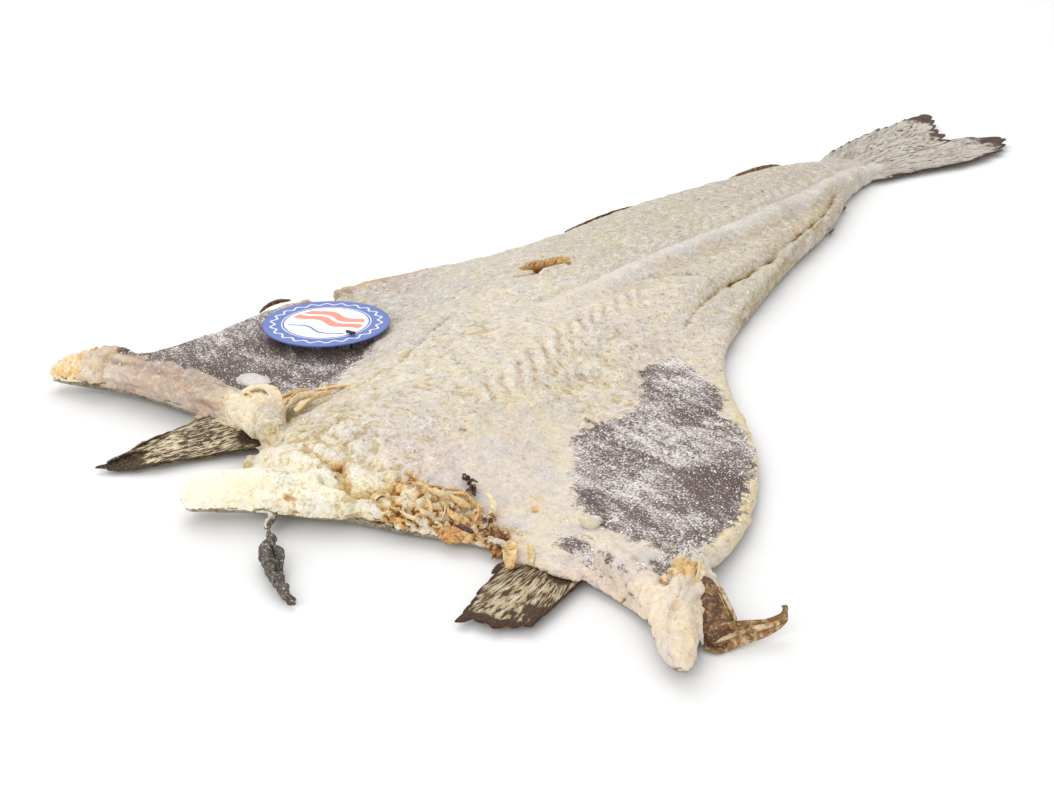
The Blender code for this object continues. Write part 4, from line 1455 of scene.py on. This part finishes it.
def pelvic_fin(material):
    """Dried pelvic fin behind the right lug: a hanging leaf and a curled strip that grows out of its foot."""
    leaf = ribbon(
        ((146, 27, 12), (148, 20, 10), (150, 15, 8), (152, 11, 6), (155, 8, 3.4), (158, 6.5, 1.2)),
        ((151, 27, 13), (156, 22.5, 11.4), (159, 20, 9.6), (162, 18, 7.6), (164, 15, 4.8), (164, 8, 1.6)),
        1.3, -1.2, 0.7, 61,
    )
    hem = ribbon(
        ((150, 26, 13), (155, 22, 12), (158, 19.5, 10), (161, 17, 8), (163, 14, 5.6)),
        ((152, 28, 12), (157, 24, 10.8), (160, 21.5, 9), (163, 19, 7), (164.5, 15, 5)),
        1.0, 0.8, 0.5, 64, 9,
    )
    curl = ribbon(
        ((158, 5, 1), (163, 5.6, 1), (167, 11.5, 1.2), (171, 17, 1.8), (174, 20.5, 2.8), (176.5, 23.2, 4.6),
         (178, 24.8, 7), (177.6, 25.6, 8.8), (176.4, 26, 10.4)),
        ((158, 11, 6), (162, 15, 7), (166, 17.5, 7.6), (169, 20, 7.4), (172, 22.5, 7.4), (174.6, 24.8, 8.4),
         (175.6, 25.6, 9.4), (175.6, 26.2, 10.4), (175.2, 26.4, 11.2)),
        1.1, 1.4, 0.6, 62,
    )
    cord = strip(
        ((160, 7, 3, 0.9), (165, 12, 4.6, 1.2), (169, 17, 5.2, 1.2), (172.5, 20.5, 5.6, 1.0), (176, 23.6, 6.4, 0.8)),
        0.4, 1.2, 0.6, (0, 90), 0.4, 63,
    )
    return scraps("pelvic_fin", [(0.75, leaf), (0.25, hem), (0.45, curl), (0.3, cord)], material)


def skin_strand(material):
    """A strip of skin that hangs from the nape, twisted thin and ending in a crumpled lump."""
    thin = (
        (-12, 6, 7.5, 1.6), (-9.5, -2, 6.4, 1.3), (-8, -6, 5.2, 1.0), (-5, -9.5, 4.4, 1.1), (-2.5, -13, 4, 1.3),
    )
    lump = (
        (-3, -10, 4, 1.2), (0, -16, 4.2, 2.6), (4, -21, 4.6, 3.6), (9, -26, 4.4, 3.6), (14, -30, 3.8, 3.0),
        (19, -34, 3.2, 2.5), (24, -37, 2.8, 2.2), (29, -40, 2.4, 1.2),
    )
    body_points, body_faces = tube(lump, 18, 0.6, 0.75, (0, 90))
    body_points = body_points + 1.7 * np.stack(
        [fractal(body_points, 3.4, 71 + i, 3) for i in range(3)], axis=1
    )
    leaf = ((3, -17, 5.4, 1.0), (8, -21, 6.6, 2.0), (13, -27, 5.6, 1.6), (19, -34, 3.4, 0.8))
    parts = [
        (0.5, strip(thin, 0.4, 0.8, 0.5, (0, 420), 0.3, 72)),
        (0.6, (body_points, body_faces)),
        (0.75, strip(leaf, 0.6, 0.7, 0.5, (10, 80), 0.6, 73)),
    ]
    return scraps("skin_strand", parts, material)


TORN_STRIPS = (
    # shade, fold, thickness, twist from and to, points (x, y, z, half width)
    # Torn edge of the nape: a thin lip along the top and a cream strand at its right end.
    (0.45, 0.6, 0.8, (20, 40), ((25, 31, 16, 0.6), (29, 32, 15.6, 1.0), (34, 33, 15.2, 1.1), (40, 36, 14.6, 0.9), (46, 39, 13.6, 0.6))),
    (0.2, 0.3, 1.2, (0, 60), ((55, 42, 13.4, 0.8), (59, 39.5, 12.6, 1.2), (60.5, 37, 10.8, 1.2), (61, 33.5, 8, 0.9))),
    (0.62, 0.6, 0.9, (0, 60), ((45, 35, 14, 0.8), (49, 36, 14, 1.5), (52, 36, 12.4, 1.5), (52, 34, 10.4, 1.0))),
    (0.45, 0.5, 0.8, (0, 160), ((36, 29, 13, 0.9), (39, 27, 13, 1.3), (41, 25, 11, 1.2), (41, 24, 9, 0.8))),
    (0.35, 0.6, 0.8, (0, 120), ((43, 30, 12.6, 0.8), (46, 28, 12, 1.2), (47, 26, 10, 1.2), (46, 24, 8, 0.8))),
    (0.3, 0.7, 0.9, (10, 60), ((36, 33, 14.6, 0.9), (38.5, 31, 15.0, 2.0), (42, 31, 14.2, 2.2), (45, 33, 12.8, 1.0))),
    (0.5, 0.7, 0.9, (20, 90), ((44, 34, 13.6, 0.9), (47, 31.5, 13.4, 2.0), (50.5, 31.5, 12.2, 2.0), (53, 34, 10.8, 0.9))),
    (0.25, 0.7, 0.9, (0, 80), ((35, 26, 10.8, 0.9), (38, 23.5, 10.4, 1.8), (41.5, 22.5, 9.4, 1.8), (44, 24, 8.2, 0.9))),
    (0.55, 0.7, 0.9, (30, 100), ((47, 28, 11.0, 0.9), (50, 25.5, 10.4, 2.0), (53.5, 26, 9.2, 1.9), (55.5, 29, 8.2, 0.9))),
    (0.15, 0.7, 0.9, (0, 60), ((30, 22, 9.6, 0.9), (33, 20.5, 9.0, 1.6), (37, 20, 8.2, 1.6), (40, 21, 7.2, 0.9))),
    (0.7, 0.7, 0.9, (20, 120), ((54, 36, 11.4, 0.8), (56.5, 33, 10.8, 1.7), (58, 30, 9.4, 1.7), (57, 27, 7.8, 0.8))),
    # Tan flap at the root of the right pectoral fin.
    (0.6, 0.5, 0.9, (0, 20), ((78.5, 22, 9.4, 1.2), (79.5, 18, 9.2, 2.0), (81.5, 13, 8.2, 2.4), (83.5, 9.5, 6.6, 1.4))),
    (0.45, 0.5, 0.8, (10, 40), ((84, 22, 9.6, 1.0), (87, 18, 9.2, 1.4), (89, 14, 7.6, 1.2))),
    # Knot of membrane on the left collar: a flat wavy strap and folds that fan out to its right.
    (0.12, 0.35, 1.8, (0, 25), ((-76, 61, 14.6, 1.6), (-75, 65, 17.2, 2.6), (-71, 67.5, 18.6, 3.2), (-66, 67, 19.0, 3.2), (-61.5, 64.5, 19.0, 3.0), (-57.5, 61, 18.4, 2.6), (-53, 57.5, 17.6, 2.0))),
    (0.25, 0.5, 1.0, (0, 50), ((-58, 61, 16.4, 1.2), (-58.5, 66, 17.6, 2.2), (-58, 71, 17.4, 2.2), (-55.5, 75.5, 16.8, 1.0))),
    (0.5, 0.5, 1.0, (0, 60), ((-53, 57, 16.6, 1.2), (-54, 63, 17.8, 2.2), (-54.5, 70, 17.8, 2.4), (-54, 78, 17.0, 1.2))),
    (0.15, 0.5, 1.1, (30, 80), ((-49, 55, 17.6, 1.4), (-49, 61, 19.0, 2.6), (-48.5, 67, 19.2, 2.4), (-47.5, 73, 18.6, 1.2))),
    (0.4, 0.5, 1.0, (0, 60), ((-44, 57, 18.2, 1.2), (-43.5, 63, 19.6, 2.2), (-43, 69, 19.8, 2.2), (-41, 76, 19.6, 1.0))),
    (0.55, 0.4, 1.0, (0, 40), ((-52, 80, 17.2, 1.0), (-45, 83, 18.4, 1.9), (-38, 86, 19.2, 1.7), (-32, 89, 20.2, 0.7))),
    # Fork of the right lug: crystalline folds.
    (0.2, 0.6, 1.4, (20, 60), ((141, 36, 12, 1.0), (144, 32, 13.8, 1.6), (146, 27, 14.4, 1.6), (146.5, 23, 13.8, 1.0))),
    (0.3, 0.5, 1.4, (40, 120), ((136, 25, 13, 0.8), (139, 22, 15, 1.3), (142, 18, 15.4, 1.2), (143.5, 14, 14.4, 0.7))),
)
TORN_LUMPS = (
    # shade, centre, radii, roughness
    # Knot: bun, nub, and a dark blob that is painted shade for the hollow beside the strap.
    (0.0, (-65, 56.5, 14.2), (9.5, 5.4, 5.2), 0.1),
    (0.05, (-56, 55, 15.2), (5.0, 5.0, 4.2), 0.14),
    (0.1, (-59, 53, 9.6), (5.0, 2.8, 2.8), 0.3),
    # a dark blob standing in for the shade of a hollow
    (1.05, (-74, 62.5, 15.6), (3.2, 2.4, 1.8), 0.2),
    # Nape: smooth cream crescent in the torn pocket, hanging amber lump, dark crust beside it.
    (0.12, (31, 28, 11.6), (4.0, 4.4, 4.2), 0.12),
    (0.85, (53, 21, 5.6), (5.2, 3.2, 3.0), 0.4),
    (0.6, (57.5, 23, 5.6), (3.2, 2.8, 2.4), 0.35),
    (1.3, (56, 24, 7.2), (4.0, 2.4, 1.6), 0.3),
)


def crumbs(count, seed, corners, shades, size):
    """Small torn curls and grains of tissue strewn between two lines of (x, y, z)."""
    random = np.random.default_rng(seed)
    back, front = (even_line(line, 40) for line in corners)
    made = []
    for i in range(count):
        k = random.integers(0, 40)
        share = random.random()
        middle = back[k] * (1.0 - share) + front[k] * share + random.normal(size=3) * 0.7
        shade = shades[0] + (shades[1] - shades[0]) * random.random() ** 1.5
        if random.random() < 0.45:
            radii = size * (0.35 + 0.5 * random.random(3))
            made.append((shade, blob(middle, radii, seed + i, 0.5)))
            continue
        reach = size * (0.7 + 0.8 * random.random())
        turn = random.random() * 2 * np.pi
        step = np.array([math.cos(turn), math.sin(turn), 0.5 * random.normal()]) * reach
        lift = np.array([0.0, -0.4, 0.6 + 0.8 * random.random()]) * size * 0.6
        wide = size * (0.25 + 0.4 * random.random())
        path = np.vstack([middle - step, middle + lift, middle + step])
        path = np.column_stack([path, (0.5 * wide, wide, 0.3 * wide)])
        twist = (0.0, 220.0 * random.random())
        made.append((shade, strip(path, 0.6, 0.45 + 0.3 * random.random(), 0.6, twist, 0.4, seed + i)))
    return made


CRUMB_FIELDS = (
    # count, seed, back line, front line, shades, size
    (34, 11, ((33, 32, 14.5), (40, 34, 14), (48, 37, 12.5), (57, 37, 10)), ((34, 24, 9), (42, 22, 7), (50, 21, 6), (60, 25, 5)), (0.15, 1.05), 1.7),
    (26, 12, ((18, 27, 15), (24, 29, 15)), ((20, 17, 8), (30, 19, 7)), (0.05, 0.4), 2.0),
    (26, 13, ((60, 34, 9), (66, 31, 8), (72, 27, 7)), ((62, 28, 5), (68, 23, 3), (74, 19, 2.4)), (0.95, 1.4), 2.1),
    (12, 14, ((43, 46, 16.2), (47, 44, 15), (51, 41, 13)), ((44, 44, 15.6), (48, 42, 14.4), (52, 39, 12.4)), (1.25, 1.5), 1.7),
    (22, 15, ((138, 34, 13.4), (144, 34, 14.4)), ((139, 16, 13.6), (146, 16, 14.4)), (0.25, 0.85), 2.0),
    (16, 16, ((-72, 66, 18), (-52, 74, 19)), ((-70, 58, 18), (-48, 62, 19)), (0.1, 0.7), 1.6),
    (14, 17, ((-70, 56, 8), (-56, 55, 8)), ((-68, 52, 7), (-56, 50, 7)), (0.05, 0.35), 2.2),
)


def torn_tissue(material):
    parts = []
    for i, (shade, fold, thick, twist, points) in enumerate(TORN_STRIPS):
        parts.append((shade, strip(points, fold, thick, 0.6, twist, 0.5, 80 + i)))
    for i, (shade, centre, radii, rough) in enumerate(TORN_LUMPS):
        parts.append((shade, blob(centre, radii, 120 + i, rough)))
    for count, seed, back, front, shades, size in CRUMB_FIELDS:
        parts += crumbs(count, 1000 * seed, (back, front), shades, size)
    return scraps("torn_tissue", parts, material)


EDGE_SCRAPS = (
    # Low remains of the fins along both edges of the tail, and dark leaves on the left rim.
    (0.75, 0.2, 0.8, (80, 80), ((-82, 352, 7.6, 0.4), (-78.5, 368, 8.8, 0.9), (-74.5, 384, 9.4, 1.3), (-70.5, 400, 9.4, 1.5), (-67.5, 411, 9.0, 1.2), (-65.5, 418, 8, 0.4))),
    (0.6, 0.2, 0.8, (80, 80), ((-46, 500, 7.2, 0.4), (-42.5, 513, 8.4, 1.1), (-38, 526, 9.0, 1.6), (-33.5, 538, 9.0, 1.7), (-30, 546, 8.4, 1.2), (-27.5, 552, 7.4, 0.4))),
    (1.1, 0.3, 0.9, (20, 60), ((44.5, 442, 2.4, 0.5), (45, 446, 3, 0.9), (44, 450, 2.6, 0.5))),
    (1.1, 0.3, 0.9, (20, 60), ((36, 489, 2.4, 0.5), (36.5, 493, 3, 0.9), (35, 497, 2.4, 0.5))),
    (0.8, 0.5, 0.7, (60, 100), ((-139, 150, 13, 0.6), (-138, 156, 14.6, 1.3), (-137, 162, 15, 1.2), (-135.5, 169, 14, 0.5))),
    (0.85, 0.5, 0.8, (20, 40), ((-97, 18, 4.4, 0.8), (-96, 24, 5.2, 1.3), (-94, 31, 5.8, 1.5), (-91, 38, 6.2, 0.9))),
    (1.0, 0.4, 0.9, (10, 40), ((-99, 6, 3.4, 0.6), (-97, 12, 4.6, 1.2), (-93, 17, 4.8, 1.3), (-89, 20, 4.6, 0.6))),
)


def edge_scraps(material):
    parts = []
    for i, (shade, fold, thick, twist, points) in enumerate(EDGE_SCRAPS):
        parts.append((shade, strip(points, fold, thick, 0.8, twist, 0.5, 200 + i)))
    return scraps("edge_scraps", parts, material)


def nodules(material):
    """Smooth pale lumps of gristle and fat on the flesh."""
    parts = [
        (0.75, blob((-30.5, 252, 20.6), (3.4, 4.6, 2.8), 1)),
        (0.5, blob((-28, 231, 22.2), (4.4, 5.0, 1.8), 2)),
        (0.0, blob((-92, 87, 10.4), (8.6, 6.4, 1.9), 3, 0.45)),
        (0.6, blob((95, 47, 9.6), (3.6, 2.4, 2.2), 4, 0.5)),
        (0.1, blob((97, 49, 10.6), (2.0, 1.6, 1.6), 7, 0.5)),
        (0.0, blob((96, 147, 9.2), (1.9, 1.2, 1.0), 5)),
        (0.0, blob((101, 148, 9.0), (2.6, 1.3, 1.0), 6)),
    ]
    return scraps("nodules", parts, material)


def nodule_paint():
    p = Paint("gristle")
    cloud = p.noise(p.place(), 2.5, 2.0, 0.6)
    fine = p.noise(p.place(), 0.8, 2.0, 0.6)
    base = p.mix(p.number("shade"), rgb(204, 197, 196), rgb(206, 196, 150))
    base = p.mix(p.step(cloud, 0.4, 0.65), base, p.mix(0.35, base, rgb(232, 228, 218)))
    p.give(p.shader.inputs["Base Color"], base)
    p.give(p.shader.inputs["Roughness"], p.scaled(fine, 0.3, 0.55))
    p.give(p.shader.inputs["Normal"], p.bump(fine, 0.2))
    return p.material


# ---------------------------------------------------------------- label


def label_piece(material):
    """The round card: a thin disc with a soft rounded edge and a slight warp."""
    radius = 500.0 * (LABEL_HIGH.x - LABEL_LOW.x)
    bottom, top = LABEL_LOW.z / MM, LABEL_HIGH.z / MM
    thick = 0.5 * (top - bottom)
    middle = 0.5 * (top + bottom)
    profile = [(k / 14.0 * (radius - thick), thick) for k in range(1, 15)]
    bend = np.radians((60, 30, 0, -30, -60))
    profile += [(radius - thick + thick * math.cos(a), thick * math.sin(a)) for a in bend]
    profile += [(k / 14.0 * (radius - thick), -thick) for k in range(14, 0, -1)]
    turns = 120
    angle = np.arange(turns) * 2 * np.pi / turns
    rings = [np.stack([r * np.cos(angle), r * np.sin(angle), np.full(turns, h)], 1) for r, h in profile]
    verts = np.vstack(rings + [np.array([[0, 0, thick], [0, 0, -thick]])])
    faces = []
    for k in range(len(profile) - 1):
        for s in range(turns):
            n = (s + 1) % turns
            faces.append((k * turns + s, (k + 1) * turns + s, (k + 1) * turns + n, k * turns + n))
    centre_top = len(profile) * turns
    last = (len(profile) - 1) * turns
    for s in range(turns):
        n = (s + 1) % turns
        faces.append((s, n, centre_top))
        faces.append((last + n, last + s, centre_top + 1))
    flat = verts / radius
    warp = 0.35 * flat[:, 0] * flat[:, 1] + 0.25 * (flat[:, 0] ** 2 - 0.4)
    verts[:, 2] += middle + warp
    verts[:, :2] += LABEL_CENTRE
    piece = make_mesh("card_label", verts, faces)
    set_vector(piece.data, "print", np.column_stack([flat[:, :2], np.zeros(len(flat))]))
    finish_piece(piece, "label", material)
    return piece


# ---------------------------------------------------------------- salt


def salt_piece(body, material, count=5500):
    """Loose salt crystals on the flesh, thickest on the belly lining."""
    random = np.random.default_rng(7)
    mesh = body.data
    points = mesh_points(mesh)
    normals = mesh_normals(mesh)
    lining = np.zeros(len(points), np.float32)
    mesh.attributes["lining"].data.foreach_get("value", lining)
    chance = (normals[:, 2] > 0.4) * (0.05 + 1.0 * smooth(-4.0, 4.0, lining))
    far = np.hypot(points[:, 0] - LABEL_CENTRE[0], points[:, 1] - LABEL_CENTRE[1]) > 31.0
    chance = chance * far
    chosen = random.choice(len(points), count, replace=False, p=chance / chance.sum())
    size = 0.11 + 0.19 * random.random(count) ** 4
    corners = np.array(list(itertools.product((-1, 1), repeat=3)), float)
    block = ((0, 1, 3, 2), (4, 6, 7, 5), (0, 4, 5, 1), (2, 3, 7, 6), (0, 2, 6, 4), (1, 5, 7, 3))
    all_points, all_faces = [], []
    for k, i in enumerate(chosen):
        turn = random.normal(size=(3, 3))
        axes, _ = np.linalg.qr(turn)
        shape = corners * (0.7 + 0.6 * random.random(3)) * (0.75 + 0.5 * random.random((8, 3)))
        all_points.append(points[i] + normals[i] * size[k] * 0.4 + size[k] * shape @ axes)
        all_faces += [tuple(8 * k + c for c in f) for f in block]
    verts = keep_in_box(np.vstack(all_points))
    piece = make_mesh("salt_grains", verts, all_faces)
    piece.data.shade_flat()
    finish_piece(piece, None, material)
    return piece


# ---------------------------------------------------------------- stage


def stage():
    floor = make_mesh("floor", np.array([(-6000, -6000, 0), (6000, -6000, 0), (6000, 6000, 0), (-6000, 6000, 0)]), [(0, 1, 2, 3)])
    floor.data.materials.append(floor_paint())

    def area(name, spot, target, size, power):
        light = bpy.data.lights.new(name, "AREA")
        light.shape = "DISK"
        light.size = size
        light.energy = power
        lamp = bpy.data.objects.new(name, light)
        bpy.context.scene.collection.objects.link(lamp)
        lamp.location = spot
        lamp.rotation_euler = (Vector(target) - Vector(spot)).to_track_quat("-Z", "Y").to_euler()

    area("key", (-0.75, 0.6, 1.25), (0.0, 0.0, 0.0), 1.6, 11.0)
    area("fill", (0.2, -1.7, 0.9), (0.0, -0.1, 0.0), 1.4, 12.0)
    world = bpy.data.worlds.new("studio")
    world.use_nodes = True
    back = world.node_tree.nodes["Background"]
    back.inputs["Color"].default_value = (1.0, 1.0, 1.0, 1.0)
    back.inputs["Strength"].default_value = 0.8
    bpy.context.scene.world = world
    bpy.context.scene.view_settings.view_transform = "Standard"

    camera_data = bpy.data.cameras.new("camera")
    camera_data.lens = CAMERA_LENS
    camera_data.sensor_width = 36.0
    camera_data.sensor_fit = "HORIZONTAL"
    camera_data.clip_start = 0.01
    camera = bpy.data.objects.new("camera", camera_data)
    bpy.context.scene.collection.objects.link(camera)
    camera.location = place(CAMERA_PLACE)
    camera.rotation_euler = (math.radians(90.0 - CAMERA_PITCH), 0.0, math.radians(CAMERA_TURN))
    bpy.context.scene.camera = camera


# ---------------------------------------------------------------- build

materials = {"flesh": flesh_paint(), "skin": skin_paint()}
body = body_base()
body_points, attributes = sculpt(mesh_points(body.data), mesh_normals(body.data))
set_points(body.data, body_points)
for key, values in attributes.items():
    if key == "tint":
        set_colour(body.data, key, values)
    else:
        set_number(body.data, key, values)
split_body(body, materials)
salt_piece(body, salt_paint())
bpy.data.objects.remove(body)

tail_paint = fin_paint("tail_fin", rgb(193, 185, 175), rgb(170, 160, 147), rgb(66, 40, 24), 0.39, (206, 198, 186))
left_paint = fin_paint("left_pectoral_fin", rgb(218, 200, 162), rgb(186, 164, 120), rgb(48, 32, 20), 0.51)
right_paint = fin_paint("right_pectoral_fin", rgb(184, 166, 130), rgb(146, 122, 84), rgb(58, 34, 20), 0.47)
fin(
    "tail_fin", TAIL_ROOT, TAIL_TIPS, 30, tail_paint, seed=3, fray=7.0, burn=(9.0, 0.6),
    scorch=((10, 746, 34), (24, 736, 22), (80, 712, 34), (58, 710, 16), (38, 692, 10)),
    root_fade=40.0,
)
fin(
    "left_pectoral_fin", LEFT_PECTORAL_ROOT, LEFT_PECTORAL_TIPS, 14, left_paint, seed=4, fray=1.5,
    burn=(3.0, 1.8), scorch=((-103, 2, 22), (-88, 62, 14), (-60, 48, 8)), grid=(1.0, 4.0),
)
fin(
    "right_pectoral_fin", RIGHT_PECTORAL_ROOT, RIGHT_PECTORAL_TIPS, 14, right_paint, seed=5, fray=1.5,
    burn=(4.0, 3.4), scorch=((81, -23, 9), (107, -8, 8), (100, 20, 10)), grid=(1.0, 6.0),
)
torn_tissue(tissue_paint())
leather = leather_paint()
pelvic_fin(leather)
edge_scraps(leather)
skin_strand(strand_paint())
nodules(nodule_paint())
label_piece(card_paint())

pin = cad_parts["label_pin"]
pin.data.materials.clear()
pin.data.materials.append(pin_paint())

stage()
